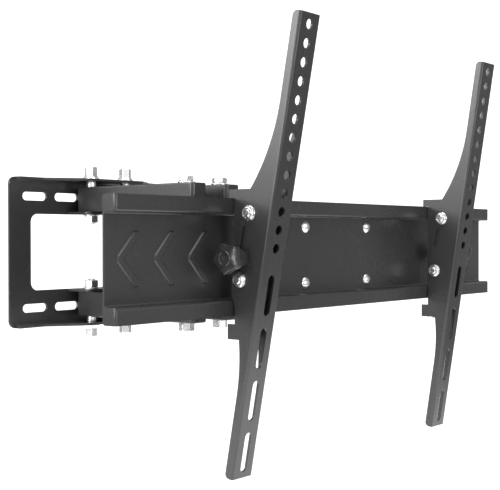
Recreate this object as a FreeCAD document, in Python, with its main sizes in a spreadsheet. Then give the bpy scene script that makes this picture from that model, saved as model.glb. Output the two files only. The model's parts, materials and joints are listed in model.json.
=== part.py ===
import FreeCAD, Part
import math
import os
import Sketcher
from FreeCAD import Placement, Rotation, Vector

# Full-motion television wall mount: a wall plate, two parallel swing arms, a front arm with a swivel,
# a wide cross plate and two tilting television brackets.
# Frame: X to the right, Y into the wall, Z up. The origin is the middle of the wall plate on the wall.

# Driving dimensions, in millimetres and degrees.
SIZES = [
    # wall plate
    ("wall_width", 221.0),
    ("wall_height", 147.0),
    ("wall_sheet", 2.5),
    ("wall_corner", 7.0),
    ("window_width", 170.0),
    ("window_corner", 8.0),
    ("wall_slot_length", 30.0),
    ("wall_slot_width", 8.4),
    ("wall_slot_pitch", 40.0),
    ("wall_slot_drop", 18.5),
    ("flange_depth", 33.0),
    ("flange_root", 9.0),
    ("flange_full", 78.0),
    ("flange_run", 34.0),
    ("bend_radius", 2.0),
    # swing arms
    ("pivot_spacing", 47.0),
    ("pivot_reach", 21.5),
    ("arm_length", 132.0),
    ("arm_width", 21.0),
    ("arm_height", 24.5),
    ("arm_rear", 11.0),
    ("arm_front", 17.5),
    ("arm_corner", 5.0),
    ("arm_sheet", 2.5),
    ("arm_edge", 1.2),
    ("bush_radius", 7.5),
    ("spacer_radius", 4.9),
    ("spacer_height", 5.8),
    ("arm_clearance", 0.2),
    # threaded parts
    ("bolt_radius", 4.0),
    ("hex_radius", 7.5),
    ("head_height", 5.3),
    ("nut_height", 7.4),
    ("tower_radius", 6.4),
    ("tower_height", 9.0),
    ("flange_head_radius", 8.2),
    ("flange_head_height", 3.4),
    ("washer_radius", 8.2),
    ("small_washer_radius", 6.9),
    ("small_washer_height", 1.0),
    ("low_nut_height", 4.8),
    ("bearing_radius", 9.7),
    ("bearing_height", 3.3),
    ("washer_height", 1.4),
    ("thread_end", 1.5),
    ("pin_clearance", 0.1),
    ("seat_clearance", 0.05),
    ("hole_clearance", 0.25),
    # front arm and swivel
    ("front_arm_sheet", 2.5),
    ("front_arm_margin", 12.5),
    ("sleeve_gap", 1.5),
    ("front_arm_corner", 10.5),
    ("front_arm_web_inset", 31.0),
    ("swivel_offset", 161.0),
    ("swivel_setback", 26.0),
    ("sleeve_radius", 7.5),
    ("swivel_radius", 5.0),
    ("swivel_hex_radius", 9.2),
    ("swivel_head_height", 6.3),
    ("swivel_washer_radius", 10.5),
    ("ear_sheet", 3.0),
    ("ear_clearance", 0.3),
    ("ear_width", 58.0),
    ("ear_corner", 9.5),
    ("ear_shoulder", 6.0),
    ("base_width", 136.0),
    ("base_lap", 0.7),
    # cross plate
    ("plate_width", 645.0),
    ("plate_height", 106.0),
    ("plate_sheet", 2.0),
    ("plate_depth", 13.4),
    ("lip_height", 12.5),
    ("lip_reach", 209.5),
    ("plate_shift", 157.0),
    ("plate_drop", 3.5),
    ("plate_bend", 1.6),
    ("stop_corner", 3.0),
    ("chevron_first", 16.3),
    ("chevron_pitch", 42.5),
    ("chevron_count", 3.0),
    ("chevron_run", 21.5),
    ("chevron_rise", 23.5),
    ("chevron_half", 5.0),
    ("chevron_lift", 1.5),
    ("chevron_slope", 1.2),
    ("chevron_end", 3.0),
    ("chevron_tip", 5.0),
    ("carriage_span", 111.0),
    ("carriage_margin", 8.5),
    ("carriage_radius", 3.0),
    ("carriage_neck", 6.2),
    ("carriage_head", 6.4),
    ("carriage_dome", 3.6),
    ("carriage_nut", 5.8),
    ("carriage_nut_height", 5.2),
    ("carriage_washer", 7.0),
    # hook plates
    ("hook_play", 0.3),
    ("hook_sheet", 2.0),
    ("hook_top", 61.0),
    ("hook_tip", 46.5),
    ("hook_back", 5.6),
    ("hook_gap", 0.6),
    ("hook_seat", 0.3),
    ("hook_front", 28.5),
    ("hook_slope", 5.0),
    ("hook_slope_drop", 10.0),
    ("hook_lip", 3.0),
    ("cheek_below", 5.0),
    ("cheek_taper", 4.0),
    ("slot_margin", 0.5),
    ("tab_top", 60.7),
    ("tab_bottom", 74.5),
    ("tab_back", 7.7),
    ("tab_front", 9.0),
    ("tilt_out", 20.0),
    ("tilt_level", 39.0),
    ("safety_radius", 2.5),
    ("safety_head_radius", 4.6),
    ("safety_head_height", 3.0),
    # television brackets
    ("bracket_width", 29.0),
    ("bracket_sheet", 2.0),
    ("bracket_length", 420.0),
    ("bracket_top", 179.7),
    ("bracket_face", 24.4),
    ("web_depth", 32.5),
    ("web_end_depth", 8.7),
    ("web_arc_radius", 187.0),
    ("web_arc_start", 133.5),
    ("web_corner", 4.5),
    ("bracket_bend", 2.6),
    ("hole_radius", 4.5),
    ("hole_margin", 9.65),
    ("hole_pitch", 16.45),
    ("hole_count", 13.0),
    ("slot_first", 231.0),
    ("slot_length", 37.3),
    ("slot_pitch", 48.7),
    ("slot_count", 4.0),
    ("slot_radius", 4.3),
    ("web_slot_top", 12.0),
    ("web_slot_length", 22.0),
    ("web_slot_width", 4.4),
    ("web_slot_back", 3.0),
    ("clamp_drop", 40.5),
    ("guide_drop", 60.5),
    ("left_bracket", -165.7),
    ("right_bracket", 180.2),
    ("left_tilt", 10.8),
    ("right_tilt", 9.0),
    ("tilt_down", 11.5),
    ("tilt_up", -2.0),
    # clamp knobs
    ("knob_radius", 14.6),
    ("knob_thickness", 11.5),
    ("knob_hub_length", 14.0),
    ("knob_hub_radius", 7.6),
    ("knob_neck_radius", 9.4),
    ("knob_scallop", 8.6),
    ("knob_scallop_ring", 18.6),
    ("knob_cap_radius", 5.6),
    ("knob_cap_height", 0.8),
    ("knob_lobes", 5.0),
    ("clamp_nut_height", 6.4),
]

# How far a cutting shape runs past the face that it cuts.
OVERCUT = 5

doc = FreeCAD.newDocument("TelevisionMount")
sheet = doc.addObject("Spreadsheet::Sheet", "Sizes")
for row, (alias, amount) in enumerate(SIZES, start=1):
    sheet.set("A%d" % row, alias)
    sheet.set("B%d" % row, str(amount))
    sheet.setAlias("B%d" % row, alias)
doc.recompute()


class Dim:
    """A size with its value and the sheet formula that gives it."""

    def __init__(self, value, formula):
        self.value = value
        self.formula = formula

    def __add__(self, other):
        other = dim(other)
        return Dim(self.value + other.value, "(%s + %s)" % (self.formula, other.formula))

    def __sub__(self, other):
        other = dim(other)
        return Dim(self.value - other.value, "(%s - %s)" % (self.formula, other.formula))

    def __mul__(self, other):
        other = dim(other)
        return Dim(self.value * other.value, "(%s * %s)" % (self.formula, other.formula))

    def __truediv__(self, other):
        other = dim(other)
        return Dim(self.value / other.value, "(%s / %s)" % (self.formula, other.formula))

    def __neg__(self):
        return Dim(-self.value, "(0 - %s)" % self.formula)

    def __radd__(self, other):
        return dim(other) + self

    def __rsub__(self, other):
        return dim(other) - self

    def __rmul__(self, other):
        return dim(other) * self


def dim(item):
    """A plain number as a size of its own."""
    if isinstance(item, Dim):
        return item
    return Dim(float(item), "(%r)" % float(item))


class Sheet:
    """The sheet's cells by name, each with its value and formula."""

    def __getattr__(self, alias):
        return Dim(float(getattr(sheet, alias)), "Sizes.%s" % alias)


S = Sheet()


def sine(angle):
    """The sine of an angle in degrees."""
    return Dim(math.sin(math.radians(angle.value)), "sin(%s * 1 deg)" % angle.formula)


def cosine(angle):
    """The cosine of an angle in degrees."""
    return Dim(math.cos(math.radians(angle.value)), "cos(%s * 1 deg)" % angle.formula)


def bind(item, path, amount):
    """Tie one property of an object to its formula."""
    item.setExpression(path, dim(amount).formula)


def place(item, x=0, y=0, z=0, tilt=None):
    """Set an object's Placement: a base point and, if given, a turn about X."""
    if tilt is not None:
        item.Placement = Placement(Vector(), Rotation(Vector(1, 0, 0), dim(tilt).value))
        bind(item, "Placement.Rotation.Angle", tilt)
    for axis, amount in zip("xyz", (x, y, z)):
        bind(item, "Placement.Base.%s" % axis, amount)


def new_body(label):
    """A part body with its own label."""
    body = doc.addObject("PartDesign::Body", label)
    body.Label = label
    return body


def new_sketch(body, name, plane, level=0):
    """A sketch on one of the body's own origin planes, moved along the plane's normal by level."""
    sketch = body.newObject("Sketcher::SketchObject", name)
    support = [f for f in body.Origin.OriginFeatures if f.Role == plane][0]
    sketch.AttachmentSupport = [(support, "")]
    sketch.MapMode = "FlatFace"
    bind(sketch, "AttachmentOffset.Base.z", level)
    return sketch


def pin_point(sketch, element, point, x, y):
    """Fix one point of a sketch element to its coordinates."""
    for kind, amount in (("DistanceX", dim(x)), ("DistanceY", dim(y))):
        index = sketch.addConstraint(Sketcher.Constraint(kind, -1, 1, element, point, amount.value))
        sketch.setExpression("Constraints[%d]" % index, amount.formula)


def fix_radius(sketch, element, radius):
    """Give an arc or circle its radius."""
    radius = dim(radius)
    index = sketch.addConstraint(Sketcher.Constraint("Radius", element, radius.value))
    sketch.setExpression("Constraints[%d]" % index, radius.formula)


def draw_outline(sketch, points):
    """A closed outline of straight lines through points."""
    ends = [(dim(x), dim(y)) for x, y in points]
    first = sketch.GeometryCount
    count = len(ends)
    for i, (x, y) in enumerate(ends):
        following = ends[(i + 1) % count]
        start = Vector(x.value, y.value, 0)
        finish = Vector(following[0].value, following[1].value, 0)
        sketch.addGeometry(Part.LineSegment(start, finish), False)
    for i in range(count):
        joined = Sketcher.Constraint("Coincident", first + i, 2, first + (i + 1) % count, 1)
        sketch.addConstraint(joined)
    for i, (x, y) in enumerate(ends):
        pin_point(sketch, first + i, 1, x, y)


def draw_box(sketch, left, right, low, high):
    """A rectangle between four edges."""
    draw_outline(sketch, [(left, low), (right, low), (right, high), (left, high)])


def draw_circle(sketch, x, y, radius):
    """A circle about a fixed centre."""
    x, y, radius = dim(x), dim(y), dim(radius)
    circle = Part.Circle(Vector(x.value, y.value, 0), Vector(0, 0, 1), radius.value)
    element = sketch.addGeometry(circle, False)
    pin_point(sketch, element, 3, x, y)
    fix_radius(sketch, element, radius)


def join_tangent(sketch, chain):
    """Join the elements of a closed chain end to start, each tangent to the next."""
    for i, element in enumerate(chain):
        following = chain[(i + 1) % len(chain)]
        sketch.addConstraint(Sketcher.Constraint("Tangent", element, 2, following, 1))


def arc_between(x, y, radius, start, finish):
    """An arc about a centre from one angle to another, anticlockwise, in degrees."""
    circle = Part.Circle(Vector(x, y, 0), Vector(0, 0, 1), radius)
    return Part.ArcOfCircle(circle, math.radians(start), math.radians(finish))


def draw_slot(sketch, x, y, length, radius, upright=False):
    """A slot with round ends about its middle point, along the sketch's first or second axis."""
    x, y, length, radius = dim(x), dim(y), dim(length), dim(radius)
    reach = length / 2 - radius
    turn = 90 if upright else 0
    along = (0, 1) if upright else (1, 0)
    ends = [(x + sign * along[0] * reach, y + sign * along[1] * reach) for sign in (1, -1)]
    middle = [Vector(cx.value, cy.value, 0) for cx, cy in ends]
    side = Vector(-along[1] * radius.value, along[0] * radius.value, 0)
    first = sketch.GeometryCount
    head = arc_between(middle[0].x, middle[0].y, radius.value, turn - 90, turn + 90)
    tail = arc_between(middle[1].x, middle[1].y, radius.value, turn + 90, turn + 270)
    sketch.addGeometry(head, False)
    sketch.addGeometry(Part.LineSegment(middle[0] + side, middle[1] + side), False)
    sketch.addGeometry(tail, False)
    sketch.addGeometry(Part.LineSegment(middle[1] - side, middle[0] - side), False)
    join_tangent(sketch, [first, first + 1, first + 2, first + 3])
    pin_point(sketch, first, 3, *ends[0])
    pin_point(sketch, first + 2, 3, *ends[1])
    fix_radius(sketch, first, radius)


def pad(body, name, sketch, length, midplane=False, reverse=False):
    """Add material along the sketch's normal."""
    feature = body.newObject("PartDesign::Pad", name)
    feature.Profile = sketch
    bind(feature, "Length", length)
    feature.Midplane = midplane
    feature.Reversed = reverse
    sketch.Visibility = False
    return feature


def pocket(body, name, sketch, length=None, midplane=False, reverse=False):
    """Take material away against the sketch's normal, to a depth or right through both ways."""
    feature = body.newObject("PartDesign::Pocket", name)
    feature.Profile = sketch
    if length is None:
        feature.Type = "ThroughAll"
        feature.Midplane = True
    else:
        bind(feature, "Length", length)
        feature.Midplane = midplane
        feature.Reversed = reverse
    return feature


def edges_along(feature, axis, spots):
    """The names of the straight edges along an axis whose other two coordinates are one of the spots."""
    found = []
    others = [i for i in range(3) if i != "xyz".index(axis)]
    for index, edge in enumerate(feature.Shape.Edges, start=1):
        if edge.Curve.TypeId != "Part::GeomLine":
            continue
        run = edge.Vertexes[-1].Point - edge.Vertexes[0].Point
        if max(abs(run[i]) for i in others) > 1e-4:
            continue
        at = edge.Vertexes[0].Point
        for spot in spots:
            gaps = [abs(at[i] - dim(goal).value) for i, goal in zip(others, spot)]
            if max(gaps) < 1e-3:
                found.append("Edge%d" % index)
    if not found:
        raise RuntimeError("no edge along %s for %s" % (axis, feature.Label))
    return found


def round_edges(body, name, radius, picks):
    """Round the picked edges of the body's last feature. Each pick is an axis and its spots."""
    doc.recompute()
    base = body.Tip
    names = []
    for axis, spots in picks:
        names += edges_along(base, axis, spots)
    feature = body.newObject("PartDesign::Fillet", name)
    feature.Base = (base, names)
    bind(feature, "Radius", radius)
    return feature


def slope_edges(body, name, size, level):
    """Bevel every edge of the body's last feature that lies wholly at one level along Y."""
    doc.recompute()
    base = body.Tip
    names = []
    for index, edge in enumerate(base.Shape.Edges, start=1):
        box = edge.BoundBox
        if max(abs(box.YMin - level.value), abs(box.YMax - level.value)) < 1e-3:
            names.append("Edge%d" % index)
    feature = body.newObject("PartDesign::Chamfer", name)
    feature.Base = (base, names)
    bind(feature, "Size", size)
    return feature


def mirror(body, name, features, plane):
    """Repeat features on the other side of one of the body's origin planes."""
    feature = body.newObject("PartDesign::Mirrored", name)
    support = [f for f in body.Origin.OriginFeatures if f.Role == plane][0]
    feature.Originals = features
    feature.MirrorPlane = (support, [""])
    body.Tip = feature
    return feature


def ring(name, x, y, low, height, outer, inner, axis="z"):
    """A plain ring or disc with a bore, standing on low along its axis."""
    outside = cylinder(name + "_outside", x, y, low, height, outer, axis)
    bore = cylinder(name + "_bore", x, y, low - OVERCUT, height + 2 * OVERCUT, inner, axis)
    return cut(name, outside, [bore])


def cylinder(name, x, y, low, height, radius, axis="z"):
    """A cylinder along Z over the point x, y, or along X through the point y, z given as x, y."""
    item = doc.addObject("Part::Cylinder", name)
    bind(item, "Radius", radius)
    bind(item, "Height", height)
    stand(item, x, y, low, axis)
    return item


def hexagon(name, x, y, low, height, radius, axis="z"):
    """A six-sided prism with its corners on a circle."""
    item = doc.addObject("Part::Prism", name)
    item.Polygon = 6
    bind(item, "Circumradius", radius)
    bind(item, "Height", height)
    stand(item, x, y, low, axis)
    return item


def stand(item, x, y, low, axis):
    """Place a primitive so that it starts at low and runs along Z or X."""
    if axis == "z":
        place(item, x, y, low)
    else:
        item.Placement = Placement(Vector(), Rotation(Vector(0, 1, 0), 90))
        for letter, amount in zip("xyz", (low, x, y)):
            bind(item, "Placement.Base.%s" % letter, amount)


def cut(name, base, tools):
    """One shape less some others."""
    item = doc.addObject("Part::Cut", name)
    item.Base = base
    item.Tool = tools[0] if len(tools) == 1 else fuse(name + "_tools", tools)
    return item


def fuse(name, shapes):
    """Several shapes as one solid."""
    item = doc.addObject("Part::MultiFuse", name)
    item.Shapes = shapes
    item.Refine = True
    return item


def group(label, shapes):
    """Like pieces that stay separate solids in one node."""
    item = doc.addObject("Part::Compound", label)
    item.Links = shapes
    item.Label = label
    return item


def bolt(name, x, y, head_low, head_height, shank_low, shank_high, axis="z", radius=None, hexa=None):
    """A hexagon head bolt: the head from head_low up, the shank between its two ends."""
    radius = radius or S.bolt_radius
    head = hexagon(name + "_head", x, y, head_low, head_height, hexa or S.hex_radius, axis)
    shank = cylinder(name + "_shank", x, y, shank_low, shank_high - shank_low, radius, axis)
    return fuse(name, [head, shank])


def nut(name, x, y, low, height, axis="z", radius=None, hexa=None):
    """A hexagon nut with its bore."""
    radius = (radius or S.bolt_radius) + S.seat_clearance
    body = hexagon(name + "_hexagon", x, y, low, height, hexa or S.hex_radius, axis)
    bore = cylinder(name + "_bore", x, y, low - OVERCUT, height + 2 * OVERCUT, radius, axis)
    return cut(name, body, [bore])


half_pivots = S.pivot_spacing / 2
elbow_reach = S.pivot_reach + S.arm_length
flange_outer = S.wall_height / 2
flange_inner = flange_outer - S.wall_sheet
arm_top = flange_inner - S.spacer_height - S.arm_clearance
arm_level = arm_top - S.arm_height
tab_outer = arm_level - S.ear_clearance
tab_inner = tab_outer - S.wall_sheet
half_front_arm = arm_level - S.arm_clearance - S.bearing_height
swivel_y = -S.lip_reach + S.plate_depth + S.plate_sheet + S.swivel_setback
ear_top = half_front_arm - S.front_arm_sheet - S.ear_clearance
half_base = ear_top - S.base_lap + S.plate_drop
half_hook = S.bracket_width / 2 - S.bracket_sheet - S.hook_play
SIDES = (("left", -1), ("right", 1))
ENDS = (("top", 1), ("bottom", -1))


def make_wall_plate():
    """The folded wall plate: slots, a window, two outer flanges and two inner tabs."""
    body = new_body("wall_plate")
    half_width = S.wall_width / 2
    half_window = S.window_width / 2
    outline = new_sketch(body, "plate_outline", "XZ_Plane")
    draw_box(outline, -half_width, half_width, -flange_outer, flange_outer)
    pad(body, "plate_sheet_pad", outline, S.wall_sheet)
    corners = [(x, z) for x in (-half_width, half_width) for z in (-flange_outer, flange_outer)]
    round_edges(body, "plate_corners", S.wall_corner, [("y", corners)])
    window = new_sketch(body, "window_outline", "XZ_Plane")
    draw_box(window, -half_window, half_window, -tab_inner, tab_inner)
    pocket(body, "window_pocket", window)
    corners = [(x, z) for x in (-half_window, half_window) for z in (-tab_inner, tab_inner)]
    round_edges(body, "window_corners", S.window_corner, [("y", corners)])
    slots = new_sketch(body, "wall_slots", "XZ_Plane")
    for step in (-2, -1, 1, 2):
        for sign in (-1, 1):
            draw_slot(slots, step * S.wall_slot_pitch, sign * (flange_outer - S.wall_slot_drop),
                      S.wall_slot_length, S.wall_slot_width / 2)
    pocket(body, "wall_slot_pocket", slots)

    half_full = S.flange_full / 2
    half_slope = half_full + S.flange_run
    half_end = half_width - S.wall_corner
    root = -S.wall_sheet / 2
    flange = new_sketch(body, "flange_outline", "XY_Plane", flange_inner)
    draw_outline(flange, [
        (-half_end, root), (-half_end, -S.flange_root), (-half_slope, -S.flange_root),
        (-half_full, -S.flange_depth), (half_full, -S.flange_depth), (half_slope, -S.flange_root),
        (half_end, -S.flange_root), (half_end, root)])
    flange_pad = pad(body, "flange_pad", flange, S.wall_sheet)
    tab_front = half_full - S.wall_sheet
    tab = new_sketch(body, "tab_outline", "XY_Plane", tab_inner)
    draw_outline(tab, [
        (-half_full, root), (-tab_front, -S.flange_depth),
        (tab_front, -S.flange_depth), (half_full, root)])
    tab_pad = pad(body, "tab_pad", tab, S.wall_sheet)
    mirror(body, "lower_folds", [flange_pad, tab_pad], "XY_Plane")
    corners = [(sign * x, -S.flange_depth) for x in (half_full, tab_front) for sign in (-1, 1)]
    round_edges(body, "fold_corners", S.wall_corner, [("z", corners)])
    bends = [(-S.wall_sheet, sign * flange_inner) for sign in (-1, 1)]
    round_edges(body, "fold_bends", S.bend_radius, [("x", bends)])
    bores = new_sketch(body, "pivot_bores", "XY_Plane")
    for x in (-half_pivots, half_pivots):
        draw_circle(bores, x, -S.pivot_reach, S.bolt_radius + S.hole_clearance)
    pocket(body, "pivot_bore_pocket", bores)
    return body


def make_swing_arm(side, sign, end, up):
    """One drawn tray of a swing arm, open towards the middle, with a bolt hole at each end."""
    body = new_body("swing_arm_%s_%s" % (side, end))
    place(body, sign * half_pivots)
    rear = S.arm_rear - S.pivot_reach
    front = -elbow_reach - S.arm_front
    half = S.arm_width / 2
    low = arm_level if up > 0 else -arm_top
    open_side = arm_level if up > 0 else -arm_top + S.arm_sheet
    outline = new_sketch(body, "tray_outline", "XY_Plane", low)
    draw_box(outline, -half, half, front, rear)
    pad(body, "tray_block", outline, S.arm_height)
    corners = [(x, y) for x in (-half, half) for y in (front, rear)]
    round_edges(body, "tray_corners", S.arm_corner, [("z", corners)])
    rims = [(x, up * arm_top) for x in (-half, half)]
    round_edges(body, "tray_edge", S.arm_edge, [("y", rims)])
    wall = S.arm_sheet
    inside = new_sketch(body, "tray_inside", "XY_Plane", open_side)
    draw_box(inside, -half + wall, half - wall, front + wall, rear - wall)
    pocket(body, "tray_hollow", inside, S.arm_height - wall, reverse=True)
    corners = [(x, y) for x in (-half + wall, half - wall) for y in (front + wall, rear - wall)]
    round_edges(body, "hollow_corners", S.arm_corner - wall, [("z", corners)])
    bores = new_sketch(body, "tray_bores", "XY_Plane")
    for y in (-S.pivot_reach, -elbow_reach):
        draw_circle(bores, 0, y, S.bolt_radius + S.pin_clearance)
    pocket(body, "tray_bore_pocket", bores)
    return body


def make_arm_bushes(side, sign):
    """The four bushes inside one arm's trays, round the wall and elbow bolts."""
    x = sign * half_pivots
    length = S.arm_height - S.arm_sheet
    bore = S.bolt_radius + S.pin_clearance
    bushes = []
    for end, up in ENDS:
        low = arm_level if up > 0 else -arm_top + S.arm_sheet
        for spot, y in (("wall", -S.pivot_reach), ("elbow", -elbow_reach)):
            bushes.append(ring("bush_%s_%s_%s" % (side, end, spot), x, y, low, length, S.bush_radius, bore))
    return group("arm_bushes_%s" % side, bushes)


def make_wall_pivots():
    """Flange head bolts through the wall plate's folds, with spacers, washers and nuts."""
    bolts, spacers, washers, nuts = [], [], [], []
    spacer_low = arm_top + S.arm_clearance
    nut_top = tab_inner - S.washer_height
    shank_end = nut_top - S.nut_height - S.thread_end
    for side, sign in SIDES:
        x = sign * half_pivots
        y = -S.pivot_reach
        for end, up in ENDS:
            mark = "%s_%s" % (side, end)
            base = flange_outer if up > 0 else -flange_outer - S.flange_head_height
            tower = flange_outer + S.flange_head_height
            tower_low = tower if up > 0 else -tower - S.tower_height
            disc = cylinder("pivot_flange_" + mark, x, y, base, S.flange_head_height, S.flange_head_radius)
            top = hexagon("pivot_hex_" + mark, x, y, tower_low, S.tower_height, S.tower_radius)
            reach = flange_outer + S.flange_head_height - shank_end
            shank_low = shank_end if up > 0 else -shank_end - reach
            shank = cylinder("pivot_shank_" + mark, x, y, shank_low, reach, S.bolt_radius)
            bolts.append(fuse("pivot_bolt_" + mark, [disc, top, shank]))
            height = flange_inner - spacer_low
            low = spacer_low if up > 0 else -spacer_low - height
            spacers.append(ring("pivot_spacer_" + mark, x, y, low, height,
                                S.spacer_radius, S.bolt_radius + S.seat_clearance))
            low = nut_top if up > 0 else -nut_top - S.washer_height
            washers.append(ring("pivot_washer_" + mark, x, y, low, S.washer_height,
                                S.washer_radius, S.bolt_radius + S.seat_clearance))
            low = nut_top - S.nut_height if up > 0 else -nut_top
            nuts.append(nut("pivot_nut_" + mark, x, y, low, S.nut_height))
    return [group("pivot_bolts", bolts), group("pivot_spacers", spacers),
            group("pivot_washers", washers), group("pivot_nuts", nuts)]


def make_elbow(side, sign):
    """The long elbow bolt of one arm, its head washer and its nut under the lower tray."""
    x = sign * half_pivots
    y = -elbow_reach
    head_low = arm_top + S.washer_height
    nut_low = -arm_top - S.nut_height - S.thread_end / 2
    shank = (nut_low - S.thread_end, head_low)
    pin = bolt("elbow_bolt_%s" % side, x, y, head_low, S.head_height, shank[0], shank[1])
    washer = ring("elbow_washer_%s" % side, x, y, arm_top, S.washer_height,
                  S.washer_radius, S.bolt_radius + S.seat_clearance)
    end = nut("elbow_nut_%s" % side, x, y, nut_low, S.nut_height + S.thread_end / 2)
    return [pin, washer, end]


def make_front_arm():
    """The front arm: two flanges joined by a web along the back, bored for both elbows and the swivel."""
    body = new_body("front_arm")
    margin = S.front_arm_margin
    thick = S.front_arm_sheet
    left = -half_pivots - margin
    right = S.swivel_offset + margin
    rear_right = swivel_y + margin
    rear_elbow = -elbow_reach + S.sleeve_radius + S.sleeve_gap + thick
    fall = (rear_right - rear_elbow) / (right - half_pivots)
    rear_left = rear_elbow - fall * (half_pivots - left)
    front_left = -elbow_reach - margin
    front_right = swivel_y - margin
    corners = [(left, front_left), (right, front_right), (right, rear_right), (left, rear_left)]
    outline = new_sketch(body, "arm_outline", "XY_Plane", -half_front_arm)
    draw_outline(outline, corners)
    pad(body, "arm_block", outline, 2 * half_front_arm)
    round_edges(body, "arm_ends", S.front_arm_corner, [("z", corners)])
    inside = new_sketch(body, "arm_inside", "XY_Plane", thick - half_front_arm)
    web_left = left + S.front_arm_web_inset
    web_right = right - S.front_arm_web_inset
    web_line = [(x, rear_left + fall * (x - left) - thick) for x in (web_right, web_left)]
    draw_outline(inside, [
        (left - margin, front_left - margin), (right + margin, front_right - margin),
        (right + margin, rear_right + margin), (web_right, rear_right + margin), web_line[0],
        web_line[1], (web_left, rear_left + margin), (left - margin, rear_left + margin)])
    pocket(body, "arm_hollow", inside, 2 * (half_front_arm - thick), reverse=True)
    bores = new_sketch(body, "arm_bores", "XY_Plane")
    for x in (-half_pivots, half_pivots):
        draw_circle(bores, x, -elbow_reach, S.bolt_radius + S.pin_clearance)
    draw_circle(bores, S.swivel_offset, swivel_y, S.swivel_radius + S.seat_clearance)
    pocket(body, "arm_bore_pocket", bores)
    return body


def make_elbow_fittings():
    """Bearing washers between the trays and the front arm, and sleeves inside it, round both elbow bolts."""
    bore = S.bolt_radius + S.pin_clearance
    height = S.bearing_height
    inner = half_front_arm - S.front_arm_sheet
    bearings, sleeves = [], []
    for side, sign in SIDES:
        x = sign * half_pivots
        for end, up in ENDS:
            low = half_front_arm if up > 0 else -half_front_arm - height
            bearings.append(ring("bearing_%s_%s" % (side, end), x, -elbow_reach, low, height,
                                 S.bearing_radius, bore))
        sleeves.append(ring("sleeve_%s" % side, x, -elbow_reach, -inner, 2 * inner, S.sleeve_radius, bore))
    return [group("elbow_bearings", bearings), group("elbow_sleeves", sleeves)]


def make_swivel_pin():
    """The swivel bolt through the front arm, with two washers and its nut."""
    x = S.swivel_offset
    head_low = half_front_arm + S.washer_height
    nut_low = -head_low - S.nut_height
    pin = bolt("swivel_bolt", x, swivel_y, head_low, S.swivel_head_height, nut_low - S.thread_end,
               head_low, radius=S.swivel_radius, hexa=S.swivel_hex_radius)
    washers = []
    for end, low in (("top", half_front_arm), ("bottom", -head_low)):
        washers.append(ring("swivel_washer_" + end, x, swivel_y, low, S.washer_height,
                            S.swivel_washer_radius, S.swivel_radius + S.seat_clearance))
    end = nut("swivel_nut", x, swivel_y, nut_low, S.nut_height,
              radius=S.swivel_radius, hexa=S.swivel_hex_radius)
    return [pin, group("swivel_washers", washers), end]


def carriage_spots():
    """The four carriage bolts' places across the swivel bracket, from its middle."""
    half_span = S.carriage_span / 2
    half_rise = half_base - S.carriage_margin
    return [(sx * half_span, sz * half_rise) for sx in (-1, 1) for sz in (-1, 1)]


def make_swivel_bracket():
    """The swivel bracket: a base on the back of the cross plate and two ears on the swivel bolt."""
    body = new_body("swivel_bracket")
    back = -S.swivel_setback
    place(body, S.swivel_offset, swivel_y)
    base = new_sketch(body, "base_outline", "XZ_Plane", -back - S.ear_sheet)
    half = S.base_width / 2
    base_ends = (-half_base - S.plate_drop, half_base - S.plate_drop)
    draw_box(base, -half, half, *base_ends)
    pad(body, "base_pad", base, S.ear_sheet)
    corners = [(x, z) for x in (-half, half) for z in base_ends]
    round_edges(body, "base_corners", S.wall_corner, [("y", corners)])
    ear_reach = S.front_arm_margin
    half_ear = S.ear_width / 2
    ear = new_sketch(body, "ear_outline", "XY_Plane", ear_top - S.ear_sheet)
    draw_outline(ear, [
        (-half_ear, back + S.ear_sheet / 2), (half_ear, back + S.ear_sheet / 2),
        (half_ear, back + S.ear_shoulder), (ear_reach, ear_reach), (-ear_reach, ear_reach),
        (-half_ear, back + S.ear_shoulder)])
    upper = pad(body, "ear_pad", ear, S.ear_sheet)
    mirror(body, "lower_ear", [upper], "XY_Plane")
    corners = [(x, ear_reach) for x in (-ear_reach, ear_reach)]
    round_edges(body, "ear_corners", S.ear_corner, [("z", corners)])
    bores = new_sketch(body, "ear_bores", "XY_Plane")
    draw_circle(bores, 0, 0, S.swivel_radius + S.pin_clearance)
    pocket(body, "ear_bore_pocket", bores)
    holes = new_sketch(body, "base_holes", "XZ_Plane")
    for x, z in carriage_spots():
        draw_circle(holes, x, z - S.plate_drop, S.carriage_radius + S.hole_clearance)
    pocket(body, "base_hole_pocket", holes)
    return body


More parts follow.
